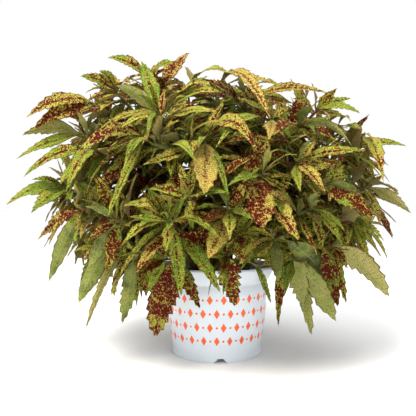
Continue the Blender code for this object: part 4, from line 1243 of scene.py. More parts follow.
def blade_template(rows, columns):
    """A unit sheet with an upper and a lower face, as arrays ready to be bent."""
    bpy.ops.object.select_all(action="DESELECT")
    bpy.ops.mesh.primitive_grid_add(x_subdivisions=columns, y_subdivisions=rows, size=2.0)
    blade = bpy.context.object
    for _ in range(2):
        blade.data.materials.append(None)
    bpy.ops.object.mode_set(mode="EDIT")
    bpy.ops.mesh.select_all(action="SELECT")
    bpy.ops.transform.translate(value=(0.0, 1.0, 0.0))
    bpy.ops.transform.resize(value=(1.0, rows / 2.0, 1.0), center_override=(0.0, 0.0, 0.0))
    bpy.ops.object.mode_set(mode="OBJECT")
    sheet = blade.modifiers.new("two_faces", "SOLIDIFY")
    sheet.thickness = 1.0
    sheet.offset = 0.0
    sheet.material_offset = UNDER - UPPER
    sheet.use_even_offset = False
    bpy.ops.object.modifier_apply(modifier="two_faces")
    made = template_from(blade)
    print("blade", rows, "x", columns, "rows and columns,", len(made.sizes), "faces")
    return made


def template_from(obj, whole_rows=True):
    """An object's mesh as arrays. The object is removed."""
    mesh = obj.data
    points = np.zeros(len(mesh.vertices) * 3)
    mesh.vertices.foreach_get("co", points)
    points = points.reshape(-1, 3)
    corners = np.zeros(len(mesh.loops), int)
    mesh.loops.foreach_get("vertex_index", corners)
    sizes = np.array([len(face.vertices) for face in mesh.polygons])
    looks = np.array([face.material_index for face in mesh.polygons])
    bpy.data.objects.remove(obj, do_unlink=True)
    rows = np.rint(points[:, 1]).astype(int) if whole_rows else points[:, 1]
    return Template(points[:, 0], rows, points[:, 2], corners, sizes, looks)


# %% [markdown]
# ## A leaf's outline
# The blade narrows to its stalk in a wedge. Most leaves are widest in the middle and run out in
# a drawn-out tip, and those that hang are broad and blunt. The teeth are coarse, uneven and
# point forward, and differ from side to side. Each takes two rows of the sheet: one at its
# point, and one in the notch. The larger a leaf is, the more rows its sheet has.

# %% Outlines with teeth
Blade = namedtuple("Blade", "base_rows teeth columns")
BLADES = {"large": Blade(7, 7, 8), "middle": Blade(6, 5, 6), "small": Blade(5, 3, 4),
          "tiny": Blade(4, 2, 2)}
Shape = namedtuple("Shape", "first last envelope")
SHAPES = {
    "long": Shape(0.26, 0.93, (
        (0.00, 0.0), (0.10, 0.0), (0.15, 0.12), (0.21, 0.36), (0.28, 0.66), (0.36, 0.90),
        (0.45, 1.00), (0.55, 0.94), (0.65, 0.76), (0.75, 0.55), (0.85, 0.34), (0.93, 0.16),
        (1.0, 0.0))),
    "blunt": Shape(0.20, 0.95, (
        (0.00, 0.0), (0.08, 0.0), (0.12, 0.22), (0.18, 0.52), (0.26, 0.80), (0.36, 0.96),
        (0.47, 1.00), (0.59, 0.93), (0.71, 0.78), (0.82, 0.58), (0.91, 0.34), (1.0, 0.0))),
}
TOOTH_DEPTHS = (0.06, 0.18)
UNEVEN = 0.09
UNEVEN_LENGTHS = (6.0, 15.0)
TOOTH_SIZES = (0.1, 1.9)
TOOTH_FORWARD = 0.55
NOTCH_BACK = -0.20

SHEETS = {name: blade_template(blade.base_rows + 2 * blade.teeth + 1, blade.columns)
          for name, blade in BLADES.items()}


def rows_along(blade, shape):
    """The rows' places along the leaf."""
    base = shape.first * np.linspace(0.0, 1.0, blade.base_rows, endpoint=False) ** 0.8
    toothed = np.linspace(shape.first, shape.last, 2 * blade.teeth)
    return np.concatenate([base, toothed, [(shape.last + 1.0) / 2, 1.0]])


def toothed_margin(blade, shape, along, side, depth, draw):
    """One side's width shares row by row, and how far its margin is moved forward."""
    size = np.array([draw.uniform(*TOOTH_SIZES) for _ in along])
    sign = np.zeros(len(along))
    sign[blade.base_rows:-2] = [1 if (row + side) % 2 else -1 for row in range(2 * blade.teeth)]
    uneven = np.sin(along * draw.uniform(*UNEVEN_LENGTHS) + draw.uniform(0.0, math.tau))
    width = np.interp(along, *zip(*shape.envelope)) * (1.0 + UNEVEN * uneven)
    width = width * (1.0 + depth * size * np.select([sign > 0, sign < 0], [0.5, -1.0], 0.0))
    pitch = (shape.last - shape.first) / (2 * blade.teeth)
    forward = np.select([sign > 0, sign < 0], [TOOTH_FORWARD, NOTCH_BACK], 0.0) * pitch
    return width, forward * min(1.0, depth * 8.0)


# %% [markdown]
# ## Bending a copy into a leaf
# Each row of the sheet is put across the midrib at its place. The halves rise from the midrib as
# the fold says and then level off, the margin waves, the blade twists a little, and its tip
# curls down. The sheet is thicker at the stalk. Each point also keeps where it lies on the leaf
# in millimetres, for the speckles, and as a share of the width and length, for the veins.

# %% Bend one leaf
SHEET_THICKNESS = 0.34 * MM
STALK_THICKNESS = 1.7 * MM
STALK_HALF_WIDTH = 0.95 * MM
FULL_STALK_WIDTH = 6.0 * MM
FOLD_ROUNDING = 0.35
WAVES = (0.03, 0.17)
WAVE_LENGTHS = (8.0, 16.0)
QUILTING = 0.05
TWIST = 0.5
UNTWISTED = 0.3
SWAY = 0.04
CURLS = (-0.10, 0.45)
SMOOTH_ROOM = 0.3 * MM
THINNER_STALK_EDGE = 0.4
STALK_SHARE = ((0.0, 0.14, 0.28, 1.0), (1.0, 1.0, 0.28, 0.0))
Piece = namedtuple("Piece", "points template millimetres share tone")


def leaf_frames(leaf, along, loose, draw):
    """The midrib's points and ways at the rows, with a twist, a sway and a curl of their own."""
    places = [leaf_place(leaf, float(a)) for a in along]
    there, way, across, out = (np.array([p[i] for p in places]) for i in range(4))
    length = (leaf.end - leaf.start).length
    twist = (draw.uniform(-TWIST, TWIST) * loose * (along - UNTWISTED))[:, None]
    sway = draw.uniform(-SWAY, SWAY) * loose * length * np.sin(np.pi * along)
    curl = draw.uniform(*CURLS) * loose * length * np.maximum(along - 0.5, 0.0) ** 2
    there = there + across * sway[:, None] - out * curl[:, None]
    across, out = (across * np.cos(twist) + out * np.sin(twist),
                   out * np.cos(twist) - across * np.sin(twist))
    return there, way, across, out, length


def bent_leaf(leaf, kind, tone, loose, draw):
    """One leaf's points in place."""
    blade, sheet = BLADES[kind], SHEETS[kind]
    shape = SHAPES[leaf.outline.split("_")[1]]
    along = rows_along(blade, shape)
    there, way, across, out, length = leaf_frames(leaf, along, loose, draw)
    depth = draw.uniform(*TOOTH_DEPTHS)
    left, right = (toothed_margin(blade, shape, along, side, depth, draw) for side in (0, 1))
    small = min(1.0, leaf.half_width / FULL_STALK_WIDTH)
    stalk = np.interp(along, *STALK_SHARE) * small
    u, row, layer = sheet.across, sheet.row, sheet.layer
    edge = np.abs(u)
    width = np.where(u < 0, left[0][row], right[0][row]) * leaf.half_width
    half = width + stalk[row] * STALK_HALF_WIDTH
    envelope = np.interp(along, *zip(*shape.envelope))[row]
    smooth_half = envelope * leaf.half_width + SMOOTH_ROOM
    waves = []
    for _ in range(2):
        size = draw.uniform(*WAVES)
        waves.append(size * np.sin(along * draw.uniform(*WAVE_LENGTHS) + draw.uniform(0, 6.3)))
    wave = np.where(u < 0, waves[0][row], waves[1][row]) * edge ** 2
    fold = leaf.fold * ((1.0 + FOLD_ROUNDING) * edge - FOLD_ROUNDING * edge ** 2)
    quilt = QUILTING * np.sin(np.pi * edge) * np.where(row % 2 > 0, 1.0, -1.0)
    lift = smooth_half * (fold + wave + quilt)
    thick = np.maximum(STALK_THICKNESS * stalk[row], SHEET_THICKNESS)
    thick = thick * (1.0 - THINNER_STALK_EDGE * stalk[row] * edge ** 2)
    forward = np.where(u < 0, left[1][row], right[1][row]) * length * edge ** 3
    points = (there[row] + across[row] * (u * half)[:, None] + way[row] * forward[:, None]
              + out[row] * (lift + layer * thick)[:, None])
    millimetres = np.stack([u * half / MM, (along[row] * length + forward) / MM], axis=1)
    return Piece(points, sheet, millimetres, np.stack([u, along[row]], axis=1), tone)


# %% [markdown]
# ## The stems, modelled once
# A stem is square with rounded corners. One straight stem is extruded ring by ring from an
# eight-cornered face, and each copy is bent along its way and thinned towards its tip. It swells
# a little at each pair of leaves, where a real one has its nodes.

# %% Model and bend the stems
def stem_template(rings):
    bpy.ops.object.select_all(action="DESELECT")
    bpy.ops.mesh.primitive_cylinder_add(vertices=8, radius=1.0, depth=1.0, end_fill_type="NGON",
                                        rotation=(0.0, 0.0, 0.0), location=(0.0, 0.0, 0.5))
    stem = bpy.context.object
    bpy.ops.object.mode_set(mode="EDIT")
    bpy.ops.mesh.select_mode(type="FACE")
    bpy.ops.mesh.select_all(action="DESELECT")
    shape = bmesh.from_edit_mesh(stem.data)
    for face in shape.faces:
        face.select_set(face.normal.z > 0.9)
    bmesh.update_edit_mesh(stem.data)
    for _ in range(rings - 1):
        bpy.ops.mesh.extrude_region_move(TRANSFORM_OT_translate={"value": (0.0, 0.0, 1.0)})
    bpy.ops.object.mode_set(mode="OBJECT")
    stem.data.transform(((1, 0, 0, 0), (0, 0, 1, 0), (0, 1, 0, 0), (0, 0, 0, 1)))
    stem.data.flip_normals()
    made = template_from(stem)
    return made._replace(looks=np.full(len(made.sizes), STALK))


STEM_RINGS = 20
SPRIG_RINGS = 2
SIDE_GUIDE = (0.31, 0.95, 0.02)
FIRST_NODE = 5.0
NODE_SPACING = 17.0
NODE_LENGTH = 2.2
NODE_SWELL = 0.16
SQUARENESS = 0.35
SQUARE_SIZE = 0.97
LEAST_ACROSS = 0.2
STEMS = {rings: stem_template(rings) for rings in (STEM_RINGS, SPRIG_RINGS)}
print("stem template", len(STEMS[STEM_RINGS].sizes), "faces")


def spaced_along(points, count):
    """Points at even distances along a line of points."""
    line = np.array([tuple(p) for p in points])
    reach = np.concatenate([[0.0], np.cumsum(np.linalg.norm(np.diff(line, axis=0), axis=1))])
    marks = np.linspace(0.0, reach[-1], count)
    return np.stack([np.interp(marks, reach, line[:, i]) for i in range(3)], axis=1), reach[-1]


def bent_stem(points, radius, tip_share, rings, tone):
    """A copy of the straight stem along a line of points."""
    template = STEMS[rings]
    line, length = spaced_along(points, rings + 1)
    way = np.gradient(line, axis=0)
    way /= np.linalg.norm(way, axis=1)[:, None]
    side = np.cross(way, SIDE_GUIDE)
    side /= np.linalg.norm(side, axis=1)[:, None]
    other = np.cross(side, way)
    share = np.linspace(0.0, 1.0, rings + 1)
    back = (1.0 - share) * length / MM
    from_node = np.mod(back - FIRST_NODE + NODE_SPACING / 2, NODE_SPACING) - NODE_SPACING / 2
    node = np.exp(-(from_node / NODE_LENGTH) ** 2)
    radii = radius * (1.0 - (1.0 - tip_share) * share) * (1.0 + NODE_SWELL * node)
    row = template.row
    across, up = template.across, template.layer
    widest = np.maximum(np.maximum(np.abs(across), np.abs(up)), LEAST_ACROSS)
    square = 1.0 / widest ** SQUARENESS * SQUARE_SIZE
    points = (line[row] + side[row] * (across * square * radii[row])[:, None]
              + other[row] * (up * square * radii[row])[:, None])
    around = np.arctan2(up, across) * radius / MM
    millimetres = np.stack([around, share[row] * length / MM], axis=1)
    return Piece(points, template, millimetres, np.stack([across, share[row]], axis=1), tone)


# %% [markdown]
# ## How each leaf is coloured
# Leaves high up and far out, in the light, are golden, and those inside the crown a deep green
# that goes nearly black. The gold and the green are the leaves' own colour; the near black inside
# is painted shade. The burgundy runs from a thin line on the midrib to speckles all over. Each
# leaf gets two numbers, one for gold and one for burgundy, and a third that shifts its pattern.
# Those measured in the photograph get what it shows, as two digits each.

# %% Tones
SEEN_TONES = (
    "54 54 43 54 55 75 78 55 53 54 42 42 88 53 32 55 32 32 65 32 79 58 42 53 47 53 76 53 74 63 "
    "94 62 62 76 52 92 88 91 88 85 51 58 73 53 53 54 64 53 63 56 49 21 43 43 43 57 32 37 68 43 "
    "83 53 53 48 35 33 33 56 53 52 53 82 53 75 53 56 56 53 45 38 34 24 21 13 21 43 33 42 38 53 "
    "53 53 53 53 64 72 46 32 36 53").split()


def seen_tone(code, draw):
    gold = (int(code[0]) + draw.uniform(-0.4, 0.4)) / 9.0
    burgundy = (int(code[1]) + draw.uniform(-0.4, 0.4)) / 9.0
    return (gold, burgundy, draw.random(), 1.0)


# Inside this share of the crown a leaf falls to the near-black start of the greens: painted shade.
GREEN_AND_SHADE_REACH = 0.69
GOLD_PER_REACH = 1.55
GOLD_PER_HEIGHT = 0.12
LEAST_GOLD = 0.05
GOLD_RANGE = (-0.14, 0.20)
BURGUNDY_SPREAD = (0.56, 0.24)
BURGUNDY_LIMITS = (0.12, 0.95)
SMALL_LESS_GOLD = 0.04
SMALL_LESS_BURGUNDY = 0.06


def drawn_tone(leaf, draw, small):
    """More gold high up and far out, and deep green low down and inside, near black there as
    painted shade.
    """
    light = (GOLD_PER_REACH * (crown_share(leaf.end) - GREEN_AND_SHADE_REACH)
             + GOLD_PER_HEIGHT * (leaf.end.z - CROWN_MIDDLE) / CROWN_RISE)
    gold = LEAST_GOLD + light + draw.uniform(*GOLD_RANGE) - SMALL_LESS_GOLD * small
    least, most = BURGUNDY_LIMITS
    burgundy = draw.gauss(*BURGUNDY_SPREAD) - SMALL_LESS_BURGUNDY * small
    return (min(1.0, max(0.0, gold)), min(most, max(least, burgundy)), draw.random(), 1.0)


# %% [markdown]
# ## One mesh for each leafy stem
# The copies of one stem and all that grows on it become one piece, written straight from their
# arrays, because joining thousands of objects by hand would take minutes.

# %% Build a piece from its copies
def mesh_of(name, pieces):
    """A mesh from bent copies, with two maps and the leaves' tones."""
    offsets = np.cumsum([0] + [len(piece.points) for piece in pieces])
    points = np.concatenate([piece.points for piece in pieces])
    corners = np.concatenate([p.template.corners + o for p, o in zip(pieces, offsets)])
    sizes = np.concatenate([piece.template.sizes for piece in pieces])
    looks = np.concatenate([piece.template.looks for piece in pieces])
    starts = np.concatenate([[0], np.cumsum(sizes)[:-1]])
    mesh = bpy.data.meshes.new(name)
    mesh.vertices.add(len(points))
    mesh.vertices.foreach_set("co", points.ravel())
    mesh.loops.add(len(corners))
    mesh.loops.foreach_set("vertex_index", corners)
    mesh.polygons.add(len(sizes))
    mesh.polygons.foreach_set("loop_start", starts)
    mesh.polygons.foreach_set("material_index", looks)
    mesh.update(calc_edges=True)
    for map_name, field in (("leaf_millimetres", "millimetres"), ("leaf_share", "share")):
        values = np.concatenate([getattr(piece, field) for piece in pieces])[corners]
        mesh.uv_layers.new(name=map_name).data.foreach_set("uv", values.ravel())
    tones = np.concatenate([np.tile(piece.tone, (len(piece.points), 1)) for piece in pieces])
    tone_map = mesh.color_attributes.new("leaf_tone", "FLOAT_COLOR", "POINT")
    tone_map.data.foreach_set("color", tones.ravel())
    mesh.validate()
    return mesh


# %% [markdown]
# ## The leaf's upper side
# A living coleus leaf is matt and faintly velvety, with a roughness of 0.65 and the index of
# water-filled tissue, about 1.4. It is thin, so some light passes under its surface. Lime and
# gold are mixed by tone and by clouds a few centimetres wide. The burgundy is speckles 2 to 3 mm
# across that crowd together along the midrib. A threshold on fine noise makes them, and it
# falls where they crowd. Side veins curve to the teeth over a net of small veins, drawn about
# as coarse as it needs to be to show.

# %% What the leaf materials read
Reads = namedtuple("Reads", "spot edge along gold burgundy")
LEAVES_APART = 900.0


def read_leaf(add):
    """Millimetres with each leaf's own shift, shares of the width and length, and the tone."""
    flat = add("UVMap", uv_map="leaf_millimetres")
    tone = add("Attribute", output="Color", attribute_name="leaf_tone")
    gold, burgundy, chance = add("SeparateColor", (tone,)).node.outputs
    shift = add("CombineXYZ", {"Z": add("Math", (chance, LEAVES_APART), **TIMES)})
    spot = add("VectorMath", (flat, shift), **PLUS)
    across, along, _ = add("SeparateXYZ", (add("UVMap", uv_map="leaf_share"),)).node.outputs
    return Reads(spot, add("Math", (across,), operation="ABSOLUTE"), along, gold, burgundy)


# %% Veins
SIDE_VEINS = 10.7
VEIN_CURVE = 0.13
NET_MESHES_PER_MM = 0.33


def vein_lines(add, leaf, sway):
    """1 on the midrib, and less on the side veins, which curve forward to the teeth."""
    curve = add("Math", (leaf.edge, 1.5), operation="POWER")
    forward = add("Math", (curve, -VEIN_CURVE, leaf.along), **TIMES_PLUS)
    forward = add("Math", (sway, 0.05, forward), **TIMES_PLUS)
    forward = add("Math", (forward, SIDE_VEINS), **TIMES)
    between = add("Math", (forward, 0.5), operation="PINGPONG")
    side = add("MapRange", (between, 0.0, 0.08, 0.45, 0.0), **SMOOTH)
    midrib = add("MapRange", (leaf.edge, 0.0, 0.06, 1.0, 0.0), **SMOOTH)
    return add("Math", (side, midrib), operation="MAXIMUM")


def net_of_veins(add, leaf):
    """1 on the net of small veins, whose meshes are 3 mm wide, and 0 in the meshes."""
    far = add("TexVoronoi", {"Vector": leaf.spot, "Scale": NET_MESHES_PER_MM},
              feature="DISTANCE_TO_EDGE")
    return add("MapRange", (far, 0.02, 0.16, 1.0, 0.0), **SMOOTH)


# %% Upper side material
# The first stops are a near-black green that the inner leaves take: painted shade. The rest is the
# leaves' own lime and gold.
LEAF_GREENS_AND_SHADE = ((0.0, "#0B1206"), (0.12, "#22380E"), (0.28, "#4A6F1B"), (0.48, "#768B2A"),
               (0.70, "#96933A"), (1.0, "#AA914A"))
STALK_COLOURS = ((0.2, "#5F7030"), (0.8, "#5A261C"))
THIN_TISSUE = {"IOR": 1.4, "Specular_IOR_Level": 0.12, "Subsurface_Weight": 0.35,
               "Subsurface_Radius": (1.0, 1.0, 0.3), "Subsurface_Scale": 1.5 * MM}


def crowding(add, leaf, cloud):
    """How close the burgundy speckles stand: along the midrib first, then in patches."""
    outer = add("Math", (leaf.edge, -0.45, 1.2), **TIMES_PLUS)
    spread = add("Math", (leaf.burgundy, outer), **TIMES)
    near = add("MapRange", (leaf.edge, 0.05, 0.46, 1.0, 0.0), **SMOOTH)
    more = add("Math", (leaf.burgundy, 0.45), **PLUS)
    midline = add("Math", (near, more), **TIMES)
    crowd = add("Math", (spread, midline), operation="MAXIMUM")
    patch = add("Math", (cloud, 3.0, -1.5), **TIMES_PLUS)
    crowd = add("Math", (patch, leaf.burgundy, crowd), **TIMES_PLUS)
    from_stalk = add("MapRange", (leaf.along, 0.08, 0.20, 0.0, 1.0), **SMOOTH)
    to_tip = add("MapRange", (leaf.along, 0.90, 1.0, 1.0, 0.6), **SMOOTH)
    fading = add("Math", (from_stalk, to_tip), **TIMES)
    return add("Math", (crowd, fading), **TIMES, use_clamp=True)


def speckles(add, leaf, cloud, blotch, fleck):
    """1 on the burgundy speckles: where two sizes of noise pass a threshold."""
    fine = add("Math", (fleck, 0.55), **TIMES)
    dots = add("Math", (blotch, 0.60, fine), **TIMES_PLUS)
    threshold = add("Math", (crowding(add, leaf, cloud), -0.215, 0.705), **TIMES_PLUS)
    past = add("Math", (dots, threshold), **MINUS)
    return add("MapRange", (past, -0.008, 0.014), **SMOOTH)


def make_upper_side():
    made, add, shader = new_material("coleus_leaf_upper", Roughness=0.65, **THIN_TISSUE)
    leaf = read_leaf(add)
    cloud = add("TexNoise", {"Vector": leaf.spot, "Scale": 0.05})
    blotch = add("TexNoise", {"Vector": leaf.spot, "Scale": 0.36, "Roughness": 0.6})
    fleck = add("TexNoise", {"Vector": leaf.spot, "Scale": 0.95, "Roughness": 0.6})
    streak = add("TexNoise", {"Vector": leaf.spot, "Scale": 0.14, "Detail": 3.0, "Roughness": 0.6})
    net = net_of_veins(add, leaf)
    # A low tone lands on the near-black painted shade at the start of the greens.
    tone_and_shade = add("Math", (cloud, 0.8, leaf.gold), **TIMES_PLUS)
    tone_and_shade = add("Math", (streak, 0.6, tone_and_shade), **TIMES_PLUS)
    tone_and_shade = add("Math", (tone_and_shade, 0.7), **MINUS)
    base = add("ValToRGB", (tone_and_shade,), stops=LEAF_GREENS_AND_SHADE)
    # The first mark darkens the net of small veins: painted shade in the puckered creases that the
    # bump also sinks.
    shares_and_colours = [
        (add("Math", (net, 0.22), **TIMES), "#2A3408"),
        (add("MapRange", (fleck, 0.46, 0.61, 0.0, 0.60), **SMOOTH), "#303A0C"),
        (add("MapRange", (fleck, 0.46, 0.32, 0.0, 0.42), **SMOOTH), "#C2B764")]
    sway = add("Math", (streak, 0.5), **MINUS)
    veins = vein_lines(add, leaf, sway)
    shares_and_colours.append((add("Math", (veins, 0.30), **TIMES), "#8A9A4A"))
    for share, code in shares_and_colours:
        base = add("Mix", {0: share, FIRST: base, SECOND: linear(code)}, MIXED, **COLOURS)
    deep = add("MapRange", (fleck, 0.35, 0.65), **SMOOTH)
    wine = {0: deep, FIRST: linear("#280400"), SECOND: linear("#560F06")}
    wine = add("Mix", wine, MIXED, **COLOURS)
    speckle = speckles(add, leaf, cloud, blotch, fleck)
    base = add("Mix", {0: speckle, FIRST: base, SECOND: wine}, MIXED, **COLOURS)
    rim = add("MapRange", (leaf.edge, 0.82, 0.97), **SMOOTH)
    worn = add("MapRange", (streak, 0.38, 0.54, 0.25, 0.95), **SMOOTH)
    rim = add("Math", (rim, worn), **TIMES)
    base = add("Mix", {0: rim, FIRST: base, SECOND: linear("#331404")}, MIXED, **COLOURS)
    stalk = add("MapRange", (leaf.along, 0.08, 0.14, 1.0, 0.0), **SMOOTH)
    red = add("ValToRGB", (leaf.burgundy,), stops=STALK_COLOURS)
    base = add("Mix", {0: stalk, FIRST: base, SECOND: red}, MIXED, **COLOURS)
    set_input(shader, "Base Color", base)
    relief = add("Math", (fleck, 0.8), **TIMES)
    relief = add("Math", (relief, veins), **MINUS)
    relief = add("Math", (relief, net), **MINUS)
    bump = add("Bump", {"Height": relief, "Distance": 0.4 * MM, "Strength": 0.8})
    set_input(shader, "Normal", bump)
    return made


upper_look = make_upper_side()

# %% [markdown]
# ### Underside and stems
# The underside is paler and greyer than the upper side, hairy and matt, with raised veins. Its
# hairs aren't modelled. The burgundy shows through only faintly. The stems are square and dull:
# green when young, with a flush of wine red that fades in and out along them.

# %% Underside and stem materials
# The first stop, near black, is painted shade for undersides inside the crown; the rest is their
# own pale green.
UNDERSIDES_AND_SHADE = ((0.0, "#0C1205"), (0.14, "#3A4A1A"), (0.35, "#78863F"), (0.65, "#989558"),
              (1.0, "#A89B66"))


def make_underside():
    made, add, shader = new_material("coleus_leaf_underside", Roughness=0.8, **THIN_TISSUE)
    leaf = read_leaf(add)
    cloud = add("TexNoise", {"Vector": leaf.spot, "Scale": 0.06})
    fine = add("TexNoise", {"Vector": leaf.spot, "Scale": 0.55, "Detail": 4.0, "Roughness": 0.6})
    grain = add("TexNoise", {"Vector": leaf.spot, "Scale": 1.2, "Roughness": 0.6})
    net = net_of_veins(add, leaf)
    # A low tone lands on the near-black painted shade at the start of the ramp.
    tone_and_shade = add("Math", (cloud, 0.8, leaf.gold), **TIMES_PLUS)
    tone_and_shade = add("Math", (tone_and_shade, 0.4), **MINUS)
    base = add("ValToRGB", (tone_and_shade,), stops=UNDERSIDES_AND_SHADE)
    inner = add("Math", (leaf.edge, -0.8, 1.3), **TIMES_PLUS)
    crowd = add("Math", (leaf.burgundy, inner), **TIMES)
    shown = add("Math", (crowd, 0.34, fine), **TIMES_PLUS)
    sway = add("Math", (fine, 0.5), **MINUS)
    veins = vein_lines(add, leaf, sway)
    vein_colour = add("ValToRGB", (leaf.burgundy,), stops=((0.15, "#9FA36C"), (0.6, "#5A3026")))
    for share, colour in (
            (add("MapRange", (grain, 0.42, 0.60, 0.0, 0.50), **SMOOTH), linear("#4C4A20")),
            (add("MapRange", (fine, 0.52, 0.66, 0.0, 0.45), **SMOOTH), linear("#5C4A26")),
            (add("MapRange", (shown, 0.62, 0.72, 0.0, 0.42), **SMOOTH), linear("#532E1C")),
            (add("Math", (net, 0.22), **TIMES), linear("#A9AB74")),
            (add("Math", (veins, 0.5), **TIMES), vein_colour),
            (add("MapRange", (leaf.edge, 0.83, 0.97, 0.0, 0.9), **SMOOTH), linear("#3F220E"))):
        base = add("Mix", {0: share, FIRST: base, SECOND: colour}, MIXED, **COLOURS)
    set_input(shader, "Base Color", base)
    relief = add("Math", (grain, 0.5, veins), **TIMES_PLUS)
    relief = add("Math", (relief, net), **PLUS)
    bump = add("Bump", {"Height": relief, "Distance": 0.45 * MM, "Strength": 0.8})
    set_input(shader, "Normal", bump)
    return made


def make_stem_look():
    made, add, shader = new_material("coleus_stem", Roughness=0.5, IOR=1.4,
                                     Specular_IOR_Level=0.25)
    leaf = read_leaf(add)
    patch = add("TexNoise", {"Vector": leaf.spot, "Scale": 0.035, "Detail": 3.0, "Roughness": 0.6})
    fibre = add("TexNoise", {"Vector": leaf.spot, "Scale": 0.8, "Detail": 3.0})
    flush = add("Math", (leaf.burgundy, 0.3, patch), **TIMES_PLUS)
    flush = add("MapRange", (flush, 0.5, 0.75), **SMOOTH)
    green = add("ValToRGB", (leaf.gold,), stops=((0.0, "#56702A"), (1.0, "#8C9150")))
    base = add("Mix", {0: flush, FIRST: green, SECOND: linear("#59291B")}, MIXED, **COLOURS)
    dull = add("MapRange", (fibre, 0.45, 0.70, 0.0, 0.35), **SMOOTH)
    base = add("Mix", {0: dull, FIRST: base, SECOND: linear("#3A3018")}, MIXED, **COLOURS)
    set_input(shader, "Base Color", base)
    bump = add("Bump", {"Height": fibre, "Distance": 0.3 * MM, "Strength": 0.6})
    set_input(shader, "Normal", bump)
    return made


under_look = make_underside()
stem_look = make_stem_look()

# %% [markdown]
# ## Dress each leafy stem
# Every leafy stem of the CAD model is replaced by its fine piece, which rides on the same body.

# %% Build the leafy stems
SMALL_KINDS = (("middle", 9.0), ("small", 5.0), ("tiny", 0.0))
SPRIG_TIP_SHARE = 0.7
FINER_WAY = 4
DRESS_SEED = 900


def stem_pieces(stem, draw):
    """The shoots and sprigs of one leafy stem, bent into place."""
    ways = [(way_points(shoot.way, FINER_WAY), shoot.radius, TIP_SHARE, STEM_RINGS, 0.9)
            for shoot in shoots if shoot.stem == stem]
    ways += [(sprig.points, sprig.radius, SPRIG_TIP_SHARE, SPRIG_RINGS, 0.6)
             for sprig in sprigs if sprig.stem == stem]
    for points, radius, tip_share, rings, reddest in ways:
        tone = (draw.uniform(0.2, 0.9), draw.uniform(0.1, reddest), draw.random(), 1.0)
        yield bent_stem(points, radius, tip_share, rings, tone)


def leaf_pieces(stem, draw):
    """The leaves of one leafy stem, bent into place. Small ones are bent the most loosely."""
    for number, leaf in enumerate(large_leaves):
        if shoots[leaf.shoot].stem == stem:
            if number < len(seen_numbers):
                tone = seen_tone(SEEN_TONES[seen_numbers[number]], draw)
                yield bent_leaf(leaf, "large", tone, 0.5, draw)
            else:
                yield bent_leaf(leaf, "middle", drawn_tone(leaf, draw, 0.0), 0.5, draw)
    for leaf, code in zip(more_leaves, more_codes):
        if shoots[leaf.shoot].stem == stem:
            yield bent_leaf(leaf, "middle", seen_tone(code, draw), 0.6, draw)
    for leaf in small_leaves:
        if shoots[leaf.shoot].stem == stem:
            kind = next(name for name, least in SMALL_KINDS if leaf.half_width > least * MM)
            yield bent_leaf(leaf, kind, drawn_tone(leaf, draw, 1.0), 1.0, draw)


def dress(node, pieces):
    """Puts the fine piece in a node's place, and says how many triangles it has."""
    mesh = mesh_of(node + "_fine", pieces)
    for look in (upper_look, under_look, stem_look):
        mesh.materials.append(look)
    mesh.shade_smooth()
    mesh.set_sharp_from_angle(angle=math.radians(50.0))
    bush = bpy.data.objects.new(node + "_fine", mesh)
    bpy.context.scene.collection.objects.link(bush)
    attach(bush, "root")
    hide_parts(node)
    mesh.calc_loop_triangles()
    low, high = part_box(node)
    over = max(max(low[i] - min(v[i] for v in bush.bound_box) for i in range(3)),
               max(max(v[i] for v in bush.bound_box) - high[i] for i in range(3)))
    print(node, len(pieces), "copies,", len(mesh.loop_triangles), "triangles,",
          round(over / MM, 1), "mm past its node's box")
    return len(mesh.loop_triangles)


triangles = 0
for stem in range(stem_count):
    draw = random.Random(DRESS_SEED + stem)
    pieces = [*stem_pieces(stem, draw), *leaf_pieces(stem, draw)]
    triangles += dress(f"leafy_stem_{stem + 1:02d}", pieces)
print(triangles, "triangles in the leafy stems")

# %% [markdown]
# ## The pot
# The pot is injection-moulded white polypropylene, 1.6 mm thick: a tapering wall, a step out to
# a flared collar with a rolled lip, a foot bead with notches for water, and a floor on a raised
# ring with drain holes. A cylinder is the start. Its cap is extruded ring by ring up the outer
# side, over the lip and down the inner side, which is how a lathe would follow the section.

# %% The pot's section and its cutters
POT_SIDES = 96
FOOT_RADIUS = 62.2 * MM
OUTSIDE = ((62.8, 1.6), (63.0, 3.2), (62.8, 4.8), (62.2, 5.8), (62.0, 8.5), (64.2, 22.5),
           (66.3, 35.8), (68.4, 49.0), (69.3, 67.0), (70.1, 85.0), (70.75, 99.6), (70.45, 100.2),
           (70.6, 101.0), (70.9, 103.0), (72.6, 104.1), (74.2, 105.5), (76.5, 110.0), (79.1, 115.0),
           (81.3, 119.0), (82.3, 119.3), (82.5, 120.2), (82.4, 122.0), (81.6, 122.9))
INSIDE = ((80.6, 122.9), (79.9, 122.2), (78.0, 117.4), (75.4, 111.8), (72.6, 106.1), (69.3, 103.5),
          (68.2, 85.0), (66.8, 49.0), (62.9, 23.0), (60.4, 7.6), (22.0, 7.6), (20.4, 1.6))
UNDERSIDE = ((59.2, 0.0), (58.4, 6.0), (23.6, 6.0), (22.0, 0.0))
NOTCH_BEARINGS = (4.5, 94.5, 184.5, 274.5)
DRAIN_FROM_NOTCH = 45.0
DRAIN_HOLE_RADIUS = 5.0 * MM
DRAIN_HOLES_FROM_AXIS = 45.0 * MM
FLOOR_MIDDLE = 6.8 * MM
NOTCH_SIZES = (22.0 * MM, 14.0 * MM, 7.6 * MM)
NOTCH_MIDDLE = (0.0, -62.0 * MM, 1.8 * MM)
NOTCH_TOP_SHARE = 0.32


def select_cap(obj, side):
    """Selects the cap of a shape in edit mode: the largest face that looks up (1) or down (-1)."""
    shape = bmesh.from_edit_mesh(obj.data)
    caps = [face for face in shape.faces if face.normal.z * side > 0.9]
    chosen = max(caps, key=lambda face: face.calc_area())
    for face in shape.faces:
        face.select_set(face is chosen)
    bmesh.update_edit_mesh(obj.data)


